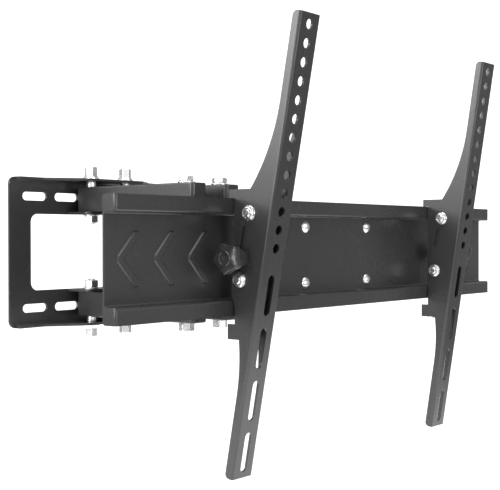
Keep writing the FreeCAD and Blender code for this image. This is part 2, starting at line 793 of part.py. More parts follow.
def make_cross_plate():
    """The folded cross plate: a recessed web, two lips, four end stops, six chevrons and square holes."""
    body = new_body("cross_plate")
    place(body, S.plate_shift, -S.lip_reach, -S.plate_drop)
    thick = S.plate_sheet
    top = S.plate_height / 2
    shelf = top - S.lip_height
    back = S.plate_depth + thick
    profile = new_sketch(body, "fold_profile", "YZ_Plane")
    draw_outline(profile, [
        (0, top), (0, shelf - thick), (S.plate_depth, shelf - thick),
        (S.plate_depth, -shelf + thick), (0, -shelf + thick), (0, -top), (thick, -top),
        (thick, -shelf), (back, -shelf), (back, shelf), (thick, shelf), (thick, top)])
    pad(body, "fold_pad", profile, S.plate_width, midplane=True)
    outer_bend = S.plate_bend + thick / 2
    back_bends = [(back, sign * shelf) for sign in (-1, 1)]
    round_edges(body, "back_bends", outer_bend, [("x", back_bends)])
    inner_bends = [(S.plate_depth, sign * (shelf - thick)) for sign in (-1, 1)]
    round_edges(body, "inner_bends", S.plate_bend, [("x", inner_bends)])

    half = S.plate_width / 2
    stop = new_sketch(body, "stop_outline", "YZ_Plane", half - thick)
    for sign in (-1, 1):
        draw_box(stop, thick / 2, S.plate_depth + thick, sign * (shelf - thick / 2), sign * top)
    stops = pad(body, "stop_pad", stop, thick)
    mirror(body, "left_stops", [stops], "YZ_Plane")
    corners = [(back, sign * top) for sign in (-1, 1)]
    round_edges(body, "stop_corners", S.stop_corner, [("x", corners)])
    lip_bends = [(0, sign * (shelf - thick)) for sign in (-1, 1)]
    folds = [(sign * half, 0) for sign in (-1, 1)]
    round_edges(body, "lip_bends", outer_bend, [("x", lip_bends), ("z", folds)])

    ridges = new_sketch(body, "chevron_outline", "XZ_Plane", -S.plate_depth - thick / 2)
    grooves = new_sketch(body, "chevron_back", "XZ_Plane", -back)
    ends, tips = [], []
    for side, sign in SIDES:
        for step in range(int(S.chevron_count.value)):
            apex = sign * (half - S.chevron_first - step * S.chevron_pitch)
            tip = apex - sign * S.chevron_run
            for sketch, wide in ((ridges, S.chevron_half), (grooves, S.chevron_half - S.chevron_lift)):
                outer = sign * wide
                draw_outline(sketch, [
                    (apex + outer, 0), (tip + outer, S.chevron_rise), (tip - outer, S.chevron_rise),
                    (apex - outer, 0), (tip - outer, -S.chevron_rise), (tip + outer, -S.chevron_rise)])
            ends += [(tip + e * S.chevron_half, z * S.chevron_rise) for e in (-1, 1) for z in (-1, 1)]
            tips.append((apex + sign * S.chevron_half, 0))
    pad(body, "chevron_pad", ridges, S.chevron_lift + thick / 2)
    round_edges(body, "chevron_ends", S.chevron_end, [("y", ends)])
    round_edges(body, "chevron_tips", S.chevron_tip, [("y", tips)])
    slope_edges(body, "chevron_slopes", S.chevron_slope, S.plate_depth - S.chevron_lift)
    pocket(body, "chevron_groove", grooves, S.chevron_lift)
    holes = new_sketch(body, "square_holes", "XZ_Plane")
    half_neck = S.carriage_neck / 2 + S.seat_clearance
    for x, z in carriage_spots():
        middle = S.swivel_offset - S.plate_shift + x
        draw_box(holes, middle - half_neck, middle + half_neck, z - half_neck, z + half_neck)
    pocket(body, "square_hole_pocket", holes)
    return body


def make_carriage_bolts():
    """Domed carriage bolts through the cross plate and swivel bracket, with washers and nuts behind."""
    front = -S.lip_reach + S.plate_depth
    base_back = swivel_y - S.swivel_setback + S.ear_sheet
    chord = S.carriage_head * S.carriage_head
    ball_radius = (chord / S.carriage_dome + S.carriage_dome) / 2
    bolts, washers, nuts = [], [], []
    for number, (dx, dz) in enumerate(carriage_spots(), start=1):
        x = S.swivel_offset + dx
        z = dz - S.plate_drop
        mark = "_%d" % number
        ball = doc.addObject("Part::Sphere", "dome_ball" + mark)
        bind(ball, "Radius", ball_radius)
        place(ball, x, front - S.carriage_dome + ball_radius, z)
        slab = doc.addObject("Part::Box", "dome_slab" + mark)
        bind(slab, "Length", 2 * S.carriage_head)
        bind(slab, "Width", S.carriage_dome)
        bind(slab, "Height", 2 * S.carriage_head)
        place(slab, x - S.carriage_head, front - S.carriage_dome, z - S.carriage_head)
        dome = doc.addObject("Part::Common", "dome" + mark)
        dome.Base = ball
        dome.Tool = slab
        neck = doc.addObject("Part::Box", "square_neck" + mark)
        bind(neck, "Length", S.carriage_neck)
        bind(neck, "Width", S.plate_sheet)
        bind(neck, "Height", S.carriage_neck)
        place(neck, x - S.carriage_neck / 2, front, z - S.carriage_neck / 2)
        reach = base_back + S.washer_height + S.carriage_nut_height + S.thread_end - front
        shank = depth_cylinder("carriage_shank" + mark, x, z, front, reach, S.carriage_radius)
        bolts.append(fuse("carriage_bolt" + mark, [dome, neck, shank]))
        disc = depth_cylinder("carriage_disc" + mark, x, z, base_back, S.washer_height, S.carriage_washer)
        bore = depth_cylinder("carriage_disc_bore" + mark, x, z, base_back - OVERCUT,
                              S.washer_height + 2 * OVERCUT, S.carriage_radius + S.seat_clearance)
        washers.append(cut("carriage_washer" + mark, disc, [bore]))
        low = base_back + S.washer_height
        body = doc.addObject("Part::Prism", "carriage_hexagon" + mark)
        body.Polygon = 6
        bind(body, "Circumradius", S.carriage_nut)
        bind(body, "Height", S.carriage_nut_height)
        lay_back(body, x, low, z)
        bore = depth_cylinder("carriage_nut_bore" + mark, x, z, low - OVERCUT,
                              S.carriage_nut_height + 2 * OVERCUT, S.carriage_radius + S.seat_clearance)
        nuts.append(cut("carriage_nut" + mark, body, [bore]))
    return [group("carriage_bolts", bolts), group("carriage_washers", washers), group("carriage_nuts", nuts)]


def lay_back(item, x, y, z):
    """Place a primitive so that it starts at y and runs towards the wall."""
    item.Placement = Placement(Vector(), Rotation(Vector(1, 0, 0), -90))
    for letter, amount in zip("xyz", (x, y, z)):
        bind(item, "Placement.Base.%s" % letter, amount)


def depth_cylinder(name, x, z, low, height, radius):
    """A cylinder that runs towards the wall from low."""
    item = doc.addObject("Part::Cylinder", name)
    bind(item, "Radius", radius)
    bind(item, "Height", height)
    lay_back(item, x, low, z)
    return item


def draw_arc_slot(sketch, x, y, swing, first, last, radius):
    """A slot along an arc below a centre, between two tilt angles in degrees, with round ends."""
    x, y, swing, radius = dim(x), dim(y), dim(swing), dim(radius)
    ends = [(x + swing * sine(a), y - swing * cosine(a)) for a in (first, last)]
    angles = [a.value - 90 for a in (first, last)]
    start = sketch.GeometryCount
    outer = arc_between(x.value, y.value, swing.value + radius.value, angles[0], angles[1])
    inner = arc_between(x.value, y.value, swing.value - radius.value, angles[0], angles[1])
    far = arc_between(ends[1][0].value, ends[1][1].value, radius.value, angles[1], angles[1] + 180)
    near = arc_between(ends[0][0].value, ends[0][1].value, radius.value, angles[0] + 180, angles[0] + 360)
    for arc in (outer, far, inner, near):
        sketch.addGeometry(arc, False)
    joints = ((start, 2, start + 1, 1), (start + 1, 2, start + 2, 2),
              (start + 2, 1, start + 3, 1), (start + 3, 2, start, 1))
    for one, one_end, other, other_end in joints:
        sketch.addConstraint(Sketcher.Constraint("Tangent", one, one_end, other, other_end))
    sketch.addConstraint(Sketcher.Constraint("Coincident", start, 3, start + 2, 3))
    pin_point(sketch, start, 3, x, y)
    fix_radius(sketch, start + 1, radius)
    pin_point(sketch, start + 1, 3, *ends[1])
    height = ends[0][1]
    index = sketch.addConstraint(Sketcher.Constraint("DistanceY", -1, 1, start + 3, 3, height.value))
    sketch.setExpression("Constraints[%d]" % index, height.formula)


def make_hook_plate(side, across):
    """The plate between the bracket's webs: it hangs on the upper lip and carries the tilt slots."""
    body = new_body("hook_plate_" + side)
    place(body, S.plate_shift + across, -S.lip_reach, -S.plate_drop)
    thick = S.hook_sheet
    half = half_hook
    lip_top = S.plate_height / 2
    base = new_sketch(body, "hook_base", "XZ_Plane", S.hook_gap)
    draw_box(base, thick / 2 - half, half - thick / 2, -S.tab_bottom, S.hook_tip)
    pad(body, "hook_base_pad", base, thick)
    tongue = new_sketch(body, "hook_tongue", "XY_Plane", -S.tab_bottom)
    draw_box(tongue, thick / 2 - half, half - thick / 2, -S.hook_gap - thick / 2, S.tab_back - thick)
    pad(body, "hook_tongue_pad", tongue, thick)
    cheek = new_sketch(body, "cheek_outline", "YZ_Plane", half - thick)
    seat = lip_top + S.hook_seat
    draw_outline(cheek, [
        (S.hook_back, S.hook_tip), (S.hook_back, S.hook_top), (S.hook_slope - S.hook_front, S.hook_top),
        (-S.hook_front, S.hook_top - S.hook_slope_drop),
        (-S.hook_front, S.tilt_level - S.guide_drop - S.cheek_below),
        (-S.tab_front, -lip_top - S.cheek_taper), (-S.tab_front, -S.tab_bottom),
        (S.tab_back, -S.tab_bottom), (S.tab_back, -S.tab_top), (-S.hook_gap, -S.tab_top),
        (-S.hook_gap, seat), (S.hook_back - S.hook_lip, seat), (S.hook_back - S.hook_lip, S.hook_tip)])
    draw_circle(cheek, -S.tilt_out, S.tilt_level, S.bolt_radius + S.pin_clearance)
    slot_radius = S.bolt_radius + S.hole_clearance
    for drop in (S.clamp_drop, S.guide_drop):
        draw_arc_slot(cheek, -S.tilt_out, S.tilt_level, drop,
                      S.tilt_up - S.slot_margin, S.tilt_down + S.slot_margin, slot_radius)
    cheeks = pad(body, "cheek_pad", cheek, thick)
    mirror(body, "left_cheek", [cheeks], "YZ_Plane")
    screw = new_sketch(body, "screw_hole", "XY_Plane")
    draw_circle(screw, 0, S.plate_sheet / 2, S.safety_radius + S.seat_clearance)
    pocket(body, "screw_hole_pocket", screw, S.tab_bottom + OVERCUT)
    return body


def make_safety_screw(side, across):
    """The screw through the hook plate's tongue that stops it lifting off the lower lip."""
    x = S.plate_shift + across
    y = -S.lip_reach + S.plate_sheet / 2
    low = -S.tab_bottom - S.plate_drop
    tip = -S.plate_height / 2 - S.hook_seat - S.plate_drop
    head = cylinder("safety_head_" + side, x, y, low - S.safety_head_height, S.safety_head_height,
                    S.safety_head_radius)
    shank = cylinder("safety_shank_" + side, x, y, low - S.safety_head_height / 2,
                     tip - low + S.safety_head_height / 2, S.safety_radius)
    return fuse("safety_screw_" + side, [head, shank])


def make_tv_bracket(side, sign, across, tilt):
    """The bracket channel in its own frame: the tilt axis is its origin, its length runs up."""
    body = new_body("tv_bracket_" + side)
    place(body, S.plate_shift + across, -S.lip_reach - S.tilt_out, S.tilt_level - S.plate_drop, tilt)
    half = S.bracket_width / 2
    face = -S.bracket_face
    top = S.bracket_top
    low = S.bracket_top - S.bracket_length
    middle = top - S.bracket_length / 2
    block = new_sketch(body, "channel_side", "YZ_Plane")
    draw_box(block, face, face + S.web_depth, low, top)
    pad(body, "channel_pad", block, S.bracket_width, midplane=True)
    waist = new_sketch(body, "web_waist", "YZ_Plane")
    strip = face + S.web_end_depth
    beyond = face + S.web_depth + OVERCUT
    for up, end in ((1, top), (-1, low)):
        start = middle + up * S.web_arc_start
        outside = end + up * OVERCUT
        centre = (strip + S.web_arc_radius, start)
        rise = beyond - strip
        sweep = math.degrees(math.acos(1 - rise.value / S.web_arc_radius.value))
        spread = (180, 180 + sweep) if up > 0 else (180 - sweep, 180)
        first = waist.GeometryCount
        arc = arc_between(centre[0].value, centre[1].value, S.web_arc_radius.value, *spread)
        knee = Vector(beyond.value, arc.EndPoint.y if up > 0 else arc.StartPoint.y, 0)
        waist.addGeometry(arc, False)
        corner = [(strip, start), (strip, outside), (beyond, outside)]
        spots = [Vector(dim(a).value, dim(b).value, 0) for a, b in corner]
        waist.addGeometry(Part.LineSegment(knee, spots[2]), False)
        waist.addGeometry(Part.LineSegment(spots[2], spots[1]), False)
        waist.addGeometry(Part.LineSegment(spots[1], spots[0]), False)
        arc_knee, arc_strip = (2, 1) if up > 0 else (1, 2)
        waist.addConstraint(Sketcher.Constraint("Coincident", first, arc_knee, first + 1, 1))
        waist.addConstraint(Sketcher.Constraint("Coincident", first + 1, 2, first + 2, 1))
        waist.addConstraint(Sketcher.Constraint("Coincident", first + 2, 2, first + 3, 1))
        waist.addConstraint(Sketcher.Constraint("Coincident", first + 3, 2, first, arc_strip))
        pin_point(waist, first, 3, *centre)
        pin_point(waist, first + 3, 2, strip, start)
        pin_point(waist, first + 2, 2, strip, outside)
        pin_point(waist, first + 2, 1, beyond, outside)
        index = waist.addConstraint(Sketcher.Constraint("DistanceX", -1, 1, first, arc_knee, beyond.value))
        waist.setExpression("Constraints[%d]" % index, beyond.formula)
    pocket(body, "waist_pocket", waist)
    ends = [(strip, z) for z in (low, top)]
    round_edges(body, "web_ends", S.web_corner, [("x", ends)])
    inside = new_sketch(body, "channel_inside", "XZ_Plane", S.bracket_face - S.bracket_sheet)
    wall = S.bracket_sheet
    draw_box(inside, wall - half, half - wall, low - OVERCUT, top + OVERCUT)
    pocket(body, "channel_hollow", inside, S.web_depth + OVERCUT)
    bends = [(x, face) for x in (-half, half)]
    round_edges(body, "channel_bends", S.bracket_bend, [("z", bends)])
    holes = new_sketch(body, "face_holes", "XZ_Plane", S.bracket_face)
    for step in range(int(S.hole_count.value)):
        draw_circle(holes, 0, top - S.hole_margin - step * S.hole_pitch, S.hole_radius)
    for step in range(int(S.slot_count.value)):
        level = top - S.slot_first - step * S.slot_pitch - S.slot_length / 2
        draw_slot(holes, 0, level, S.slot_length, S.slot_radius, upright=True)
    pocket(body, "face_hole_pocket", holes, S.bracket_sheet * 2)
    cross = new_sketch(body, "web_holes", "YZ_Plane")
    draw_circle(cross, 0, 0, S.bolt_radius + S.hole_clearance)
    draw_circle(cross, 0, -S.guide_drop, S.bolt_radius + S.hole_clearance)
    draw_slot(cross, S.web_slot_back, -S.web_slot_top - S.web_slot_length / 2, S.web_slot_length,
              S.web_slot_width / 2, upright=True)
    pocket(body, "web_hole_pocket", cross)
    clamp = new_sketch(body, "clamp_hole", "YZ_Plane")
    draw_circle(clamp, 0, -S.clamp_drop, S.bolt_radius + S.hole_clearance)
    pocket(body, "clamp_hole_pocket", clamp, S.bracket_width, reverse=sign > 0)
    return body


def make_tilt_hardware(side, across, tilt):
    """The tilt bolt and the guide bolt through one bracket, with their washers and nuts."""
    half = S.bracket_width / 2
    washer = S.small_washer_height
    bolts, washers, nuts = [], [], []
    for name, drop in (("tilt", dim(0)), ("guide", S.guide_drop)):
        mark = "%s_%s" % (name, side)
        nut_low = -half - washer - S.low_nut_height
        bolts.append(bolt("bolt_" + mark, 0, -drop, half + washer, S.head_height,
                          nut_low - S.thread_end, half + washer, axis="x"))
        for end, low in (("head", half), ("nut", -half - washer)):
            washers.append(ring("washer_%s_%s" % (end, mark), 0, -drop, low, washer,
                                S.small_washer_radius, S.bolt_radius + S.seat_clearance, axis="x"))
        nuts.append(nut("nut_" + mark, 0, -drop, nut_low, S.low_nut_height, axis="x"))
    made = [group("tilt_bolts_" + side, bolts), group("tilt_washers_" + side, washers),
            group("tilt_nuts_" + side, nuts)]
    for item in made:
        place(item, S.plate_shift + across, -S.lip_reach - S.tilt_out, S.tilt_level - S.plate_drop, tilt)
    return made


def clamp_place(item, across, tilt):
    """Place an item whose own origin is on the clamp's axis, turned with the bracket."""
    place(item, S.plate_shift + across, -S.lip_reach - S.tilt_out + S.clamp_drop * sine(tilt),
          S.tilt_level - S.plate_drop - S.clamp_drop * cosine(tilt), tilt)


def make_clamp_knob(side, sign, across, tilt):
    """The star knob outside one bracket: a hub, a lobed head and a raised cap, bored for its stud."""
    body = new_body("clamp_knob_" + side)
    clamp_place(body, across, tilt)
    outwards = sign < 0
    hub_start = S.bracket_width / 2 + 2 * S.seat_clearance
    neck_start = hub_start + S.knob_hub_length / 2
    head_start = hub_start + S.knob_hub_length
    head_end = head_start + S.knob_thickness
    hub = new_sketch(body, "hub_outline", "YZ_Plane", sign * hub_start)
    draw_circle(hub, 0, 0, S.knob_hub_radius)
    pad(body, "hub_pad", hub, S.knob_hub_length, reverse=outwards)
    neck = new_sketch(body, "neck_outline", "YZ_Plane", sign * neck_start)
    draw_circle(neck, 0, 0, S.knob_neck_radius)
    pad(body, "neck_pad", neck, head_start - neck_start, reverse=outwards)
    head = new_sketch(body, "head_outline", "YZ_Plane", sign * head_start)
    draw_circle(head, 0, 0, S.knob_radius)
    pad(body, "head_pad", head, S.knob_thickness, reverse=outwards)
    scallop = new_sketch(body, "scallop_outline", "YZ_Plane", sign * (head_start + S.knob_thickness / 2))
    draw_circle(scallop, 0, S.knob_scallop_ring, S.knob_scallop)
    first = pocket(body, "scallop_pocket", scallop, S.knob_thickness + OVERCUT, midplane=True)
    lobes = body.newObject("PartDesign::PolarPattern", "scallops")
    lobes.Originals = [first]
    lobes.Axis = (scallop, ["N_Axis"])
    lobes.Angle = 360
    lobes.Occurrences = int(S.knob_lobes.value)
    body.Tip = lobes
    cap = new_sketch(body, "cap_outline", "YZ_Plane", sign * (head_end - S.knob_cap_height))
    draw_circle(cap, 0, 0, S.knob_cap_radius)
    pad(body, "cap_pad", cap, 2 * S.knob_cap_height, reverse=outwards)
    bore = new_sketch(body, "stud_bore", "YZ_Plane", sign * hub_start)
    draw_circle(bore, 0, 0, S.bolt_radius + S.seat_clearance)
    depth = S.knob_hub_length + S.knob_thickness / 2 + S.seat_clearance
    pocket(body, "stud_bore_pocket", bore, depth, reverse=sign > 0)
    return body


def make_clamp_stud(side, sign, across, tilt):
    """The stud fixed in the knob, and the nut and washer it screws into, inside the hook plate."""
    outer = S.bracket_width / 2 + 2 * S.seat_clearance + S.knob_hub_length + S.knob_thickness / 2
    washer_outer = half_hook - S.hook_sheet
    nut_outer = washer_outer - S.small_washer_height
    nut_inner = nut_outer - S.clamp_nut_height
    inner = nut_inner - S.thread_end
    low = -outer if sign < 0 else inner
    stud = cylinder("stud_core_" + side, 0, 0, low, outer - inner, S.bolt_radius, axis="x")
    stud_node = group("clamp_stud_" + side, [stud])
    nut_low = -nut_outer if sign < 0 else nut_inner
    washer_low = -washer_outer if sign < 0 else nut_outer
    hexagon_body = hexagon("clamp_hexagon_" + side, 0, 0, nut_low, S.clamp_nut_height, S.hex_radius, "x")
    bore = cylinder("clamp_bore_" + side, 0, 0, nut_low - OVERCUT, S.clamp_nut_height + 2 * OVERCUT,
                    S.bolt_radius + S.pin_clearance, "x")
    nut_part = cut("clamp_nut_core_" + side, hexagon_body, [bore])
    washer = ring("clamp_washer_core_" + side, 0, 0, washer_low, S.small_washer_height,
                  S.small_washer_radius, S.bolt_radius + S.pin_clearance, axis="x")
    nut_node = group("clamp_nut_" + side, [nut_part, washer])
    for item in (stud_node, nut_node):
        clamp_place(item, across, tilt)
    return [stud_node, nut_node]


def check_document():
    """Stop if any object of the document failed."""
    for item in doc.Objects:
        if "Invalid" in item.State or "Error" in item.State:
            raise RuntimeError("%s failed: %s" % (item.Label, item.State))


def write_parts(parts):
    """Write each sub-part to its own file, after its shape is checked."""
    os.makedirs("parts", exist_ok=True)
    for part in parts:
        shape = part.Shape
        if shape.isNull() or not shape.isValid() or not shape.Solids:
            raise RuntimeError("%s has no valid solid" % part.Label)
        shape.exportStep("parts/%s.step" % part.Label)


def build():
    """Make every sub-part and write it."""
    parts = [make_wall_plate()]
    parts += make_wall_pivots()
    for side, sign in SIDES:
        for end, up in ENDS:
            parts.append(make_swing_arm(side, sign, end, up))
        parts.append(make_arm_bushes(side, sign))
        parts += make_elbow(side, sign)
    parts.append(make_front_arm())
    parts += make_elbow_fittings()
    parts += make_swivel_pin()
    parts.append(make_swivel_bracket())
    parts.append(make_cross_plate())
    parts += make_carriage_bolts()
    brackets = (("left", -1, S.left_bracket, S.left_tilt), ("right", 1, S.right_bracket, S.right_tilt))
    for side, sign, across, tilt in brackets:
        parts.append(make_hook_plate(side, across))
        parts.append(make_safety_screw(side, across))
        parts.append(make_tv_bracket(side, sign, across, tilt))
        parts += make_tilt_hardware(side, across, tilt)
        parts.append(make_clamp_knob(side, sign, across, tilt))
        parts += make_clamp_stud(side, sign, across, tilt)
    doc.recompute()
    check_document()
    write_parts(parts)


build()
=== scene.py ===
import json
import math

import bmesh
import bpy
import numpy as np
from mathutils import Matrix, Vector


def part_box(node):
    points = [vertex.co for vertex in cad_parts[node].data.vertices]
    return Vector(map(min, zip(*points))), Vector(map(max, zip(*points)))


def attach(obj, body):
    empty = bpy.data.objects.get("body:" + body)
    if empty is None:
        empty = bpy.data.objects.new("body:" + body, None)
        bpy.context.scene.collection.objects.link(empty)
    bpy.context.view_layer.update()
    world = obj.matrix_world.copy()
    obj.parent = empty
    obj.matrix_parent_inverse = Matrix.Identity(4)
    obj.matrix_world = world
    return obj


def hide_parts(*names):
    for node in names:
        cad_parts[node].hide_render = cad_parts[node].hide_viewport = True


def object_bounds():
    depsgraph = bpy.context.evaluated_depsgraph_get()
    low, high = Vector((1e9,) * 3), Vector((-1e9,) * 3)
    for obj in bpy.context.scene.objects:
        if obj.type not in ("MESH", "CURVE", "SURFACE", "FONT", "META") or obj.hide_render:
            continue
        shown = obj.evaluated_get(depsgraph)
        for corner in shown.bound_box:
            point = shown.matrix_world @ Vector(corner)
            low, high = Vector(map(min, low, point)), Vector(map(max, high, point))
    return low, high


# A full-motion television wall mount: black powder-coated sheet steel, bright zinc fasteners and
# black star knobs. Lengths are in metres.
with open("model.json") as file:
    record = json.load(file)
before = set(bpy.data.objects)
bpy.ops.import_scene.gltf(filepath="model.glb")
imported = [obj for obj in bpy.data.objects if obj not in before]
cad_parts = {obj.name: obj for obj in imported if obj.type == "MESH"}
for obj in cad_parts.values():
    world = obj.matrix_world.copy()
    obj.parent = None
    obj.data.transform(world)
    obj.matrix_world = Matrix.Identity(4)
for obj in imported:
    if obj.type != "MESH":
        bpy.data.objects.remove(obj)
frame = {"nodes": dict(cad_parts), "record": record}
cad_low, cad_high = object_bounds()

MM = 0.001
TURN = 2 * math.pi
SIDES = (("left", -1), ("right", 1))
ALONG = {"x": 0, "y": 1, "z": 2}

# The studio view: where the camera stands and how it is turned.
CAMERA_PLACE = (-0.72677, -0.81109, 0.01425)
CAMERA_YAW = 50.455
CAMERA_PITCH = -0.4288
CAMERA_ROLL = -0.0987
CAMERA_LENS = 74.11

# Threaded parts: M8 for most, M10 for the swivel, M6 for the carriage bolts.
M8, M10, M6 = 4 * MM, 5 * MM, 3 * MM
COARSE, FINE = 1.25 * MM, 1.0 * MM
CHAMFER = math.tan(math.radians(30))

# Bores against the rods through them: a nut's, where the thread fills it, and those that slide.
NUT_BORE, SPACER_BORE, WASHER_BORE, BUSH_BORE = 0.9, 1.01, 1.02, 1.03

# The power that makes a hexagon's or a square's corners: the higher, the sharper.
SHARPNESS = 40

# How much of a hexagon's width its flat end faces take, on a bolt head and on a nut.
HEAD_FACE, NUT_FACE = 0.465, 0.468


# Surfaces. Each shape is a list of points and a list of faces, made on the Z axis and then placed.

def skin(points):
    """Faces over a grid of points whose first index runs once round the shape and meets itself."""
    around, along = points.shape[:2]
    index = np.arange(around * along).reshape(around, along)
    following = np.roll(index, -1, axis=0)
    faces = np.stack([index[:, :-1], following[:, :-1], following[:, 1:], index[:, 1:]], axis=-1)
    return points.reshape(-1, 3), faces.reshape(-1, 4)


def polar(angle, radius, height):
    """Points at a radius and height round the Z axis, broadcast together."""
    parts = np.broadcast_arrays(radius * np.cos(angle), radius * np.sin(angle), height)
    return np.stack(parts, axis=-1)


def round_angles(steps):
    """Even angles once round the axis, without the last, which is the first again."""
    return np.linspace(0, TURN, steps, endpoint=False)


def turned(rows, steps=72):
    """Rows of radius and height, each one number or one value per angle, carried once round Z."""
    angle = round_angles(steps)
    return skin(np.stack([polar(angle, radius, height) for radius, height in rows], axis=1))


def eased(rows, radius, steps=4):
    """A profile of plain numbers with each inner corner cut back along both sides and joined by a
    curve that weights the two cuts and the corner by 1-t squared, t squared and 2t(1-t)."""
    rows = np.asarray(rows, float)
    made = [rows[0]]
    t = np.linspace(0, 1, steps)[:, None]
    for before, corner, after in zip(rows, rows[1:], rows[2:]):
        back, ahead = before - corner, after - corner
        reach = [min(radius, 0.45 * np.linalg.norm(side)) for side in (back, ahead)]
        start = corner + back / np.linalg.norm(back) * reach[0]
        finish = corner + ahead / np.linalg.norm(ahead) * reach[1]
        made.extend((1 - t) ** 2 * start + 2 * t * (1 - t) * corner + t ** 2 * finish)
    made.append(rows[-1])
    return made


def hex_wall(flats, angle, first=TURN / 12):
    """How far a hexagon's wall is from its axis at each angle, with eased corners: the cosines to
    the six sides are raised to a high power, added, and brought back by its root."""
    sides = first + np.arange(6) * TURN / 6
    facing = np.cos(angle[:, None] - sides).clip(1e-6)
    return flats / 2 / (facing ** SHARPNESS).sum(1) ** (1 / SHARPNESS)


def cone_drop(wall, face):
    """How far a corner cut by a shallow cone falls, in step with how far it stands past the face."""
    return (wall - face).clip(0) * CHAMFER


def hex_head(flats, height, steps=144, flange=0.0, rim=0.0):
    """A bolt head on its seat: a hexagon with a coned, dished top, on a washer face or on a flange
    that is thin at its rim and slopes up to the hexagon."""
    angle = round_angles(steps)
    wall = hex_wall(flats, angle)
    face = flats * HEAD_FACE
    slope_top = height * 0.28 if flange else 0.4 * MM
    foot = flange or flats * 0.475
    bead = 0.25 * MM
    rows = [(0, 0), (foot - bead, 0), (foot, bead), (foot, max(rim, bead) + bead / 2),
            (foot - bead / 2, max(rim, bead) + bead)]
    if flange:
        rows += [(wall * 1.06, slope_top - bead), (wall, slope_top + bead)]
    else:
        rows += [(face, slope_top - bead / 4), (wall, slope_top + cone_drop(wall, face))]
    crown = height - cone_drop(wall, face)
    rows += [(wall, slope_top + 2 * bead), (wall, crown - bead), (wall, crown - bead / 2),
             (wall - bead / 4, crown), (face, height - bead / 8), (face - bead, height),
             (face * 0.72, height - bead / 4), (face * 0.6, height - 1.4 * bead),
             (0, height - 1.6 * bead)]
    return turned(rows, steps)


def hex_nut(flats, height, bore, collar=0.0, steps=144):
    """A nut on its seat: a hexagon coned at both ends with a countersunk bore. With a collar it ends
    in a round crimped rim over a locking ring, which stands a little inside the rim."""
    angle = round_angles(steps)
    wall = hex_wall(flats, angle)
    face = flats * NUT_FACE
    sink = 0.5 * MM
    top = height - collar
    drop = cone_drop(wall, face)
    rows = [(bore, sink), (bore + sink, 0), (face, 0), (wall, drop + 0.1 * MM),
            (wall, top - drop - 0.1 * MM)]
    if collar:
        rim = flats * 0.44
        rows += [(rim, top + 0.05 * MM), (rim, height - 0.6 * MM),
                 (rim - 0.18 * MM, height - 0.18 * MM), (rim - 0.6 * MM, height),
                 (rim - 1.1 * MM, height - 0.12 * MM),
                 (rim - 1.25 * MM, height - 0.7 * MM), (bore + 0.15 * MM, height - 0.8 * MM),
                 (bore, height - 1.1 * MM), (bore, sink)]
    else:
        rows += [(face, top), (bore + sink, top), (bore, top - sink), (bore, sink)]
    return turned(rows, steps)


def flat_ring(inner, outer, height, bead=0.3 * MM, steps=72):
    """A washer, bush or spacer: a ring with rounded rims that starts and ends on its bore."""
    middle = height / 2
    corners = [(inner, middle), (inner, 0), (outer, 0), (outer, height), (inner, height),
               (inner, middle)]
    return turned(eased(corners, min(bead, height * 0.3)), steps)


def thread(radius, low, high, pitch=COARSE, steps=40):
    """A threaded rod: the radius falls and rises once per pitch along the axis, is carried round by
    the angle, and runs down to a smaller radius at both ends."""
    rows = max(int((high - low) / pitch * 6), 6)
    angle = round_angles(steps)[:, None]
    height = np.linspace(low, high, rows)[None, :]
    phase = (height / pitch - angle / TURN) % 1
    depth = 0.45 * pitch * (1 - 2 * np.abs(phase - 0.5)) ** 0.8
    run_in = np.minimum(height - low, high - height).clip(0, pitch * 0.8)
    wall = np.minimum(radius - depth, radius - pitch * 0.8 + run_in)
    ends = [polar(angle, 0.0, np.full((1, 1), edge)) for edge in (low, high)]
    return skin(np.concatenate([ends[0], polar(angle, wall, height), ends[1]], axis=1))


def rod(radius, low, high, steps=40):
    """A plain round rod with eased ends."""
    return turned(eased([(0, low), (radius, low), (radius, high), (0, high)], 0.2 * MM, 3), steps)


def joined(*shapes):
    """Several shapes as one."""
    points, faces, count = [], [], 0
    for some_points, some_faces in shapes:
        points.append(some_points)
        faces.append(some_faces + count)
        count += len(some_points)
    return np.concatenate(points), np.concatenate(faces)


def stood(shape, place, axis=(0, 0, 1), turn=0.0):
    """A shape moved so that its Z axis runs along axis from place, after a turn about itself."""
    points, faces = shape
    heading = Vector((0, 0, 1)).rotation_difference(Vector(axis)).to_matrix()
    if axis[2] < -0.999:
        heading = Matrix.Rotation(math.pi, 3, "X")
    matrix = np.array(heading @ Matrix.Rotation(turn, 3, "Z"))
    return points @ matrix.T + np.asarray(place, float), faces


def add_piece(name, shape, material, body, replaced, smooth=38):
    """A mesh object from a shape, closed at its seams, smooth up to an angle, which rides on a body
    in the place of CAD nodes."""
    points, faces = shape
    mesh = bpy.data.meshes.new(name)
    mesh.from_pydata(points.tolist(), [], faces.tolist())
    shell = bmesh.new()
    shell.from_mesh(mesh)
    bmesh.ops.remove_doubles(shell, verts=shell.verts, dist=1e-6)
    bmesh.ops.dissolve_degenerate(shell, edges=shell.edges, dist=1e-7)
    bmesh.ops.recalc_face_normals(shell, faces=shell.faces)
    limit = math.radians(smooth)
    for edge in shell.edges:
        edge.smooth = len(edge.link_faces) == 2 and edge.calc_face_angle() < limit
    for face in shell.faces:
        face.smooth = True
    shell.to_mesh(mesh)
    shell.free()
    piece = bpy.data.objects.new(name, mesh)
    bpy.context.scene.collection.objects.link(piece)
    mesh.materials.append(material)
    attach(piece, body)
    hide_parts(*replaced)


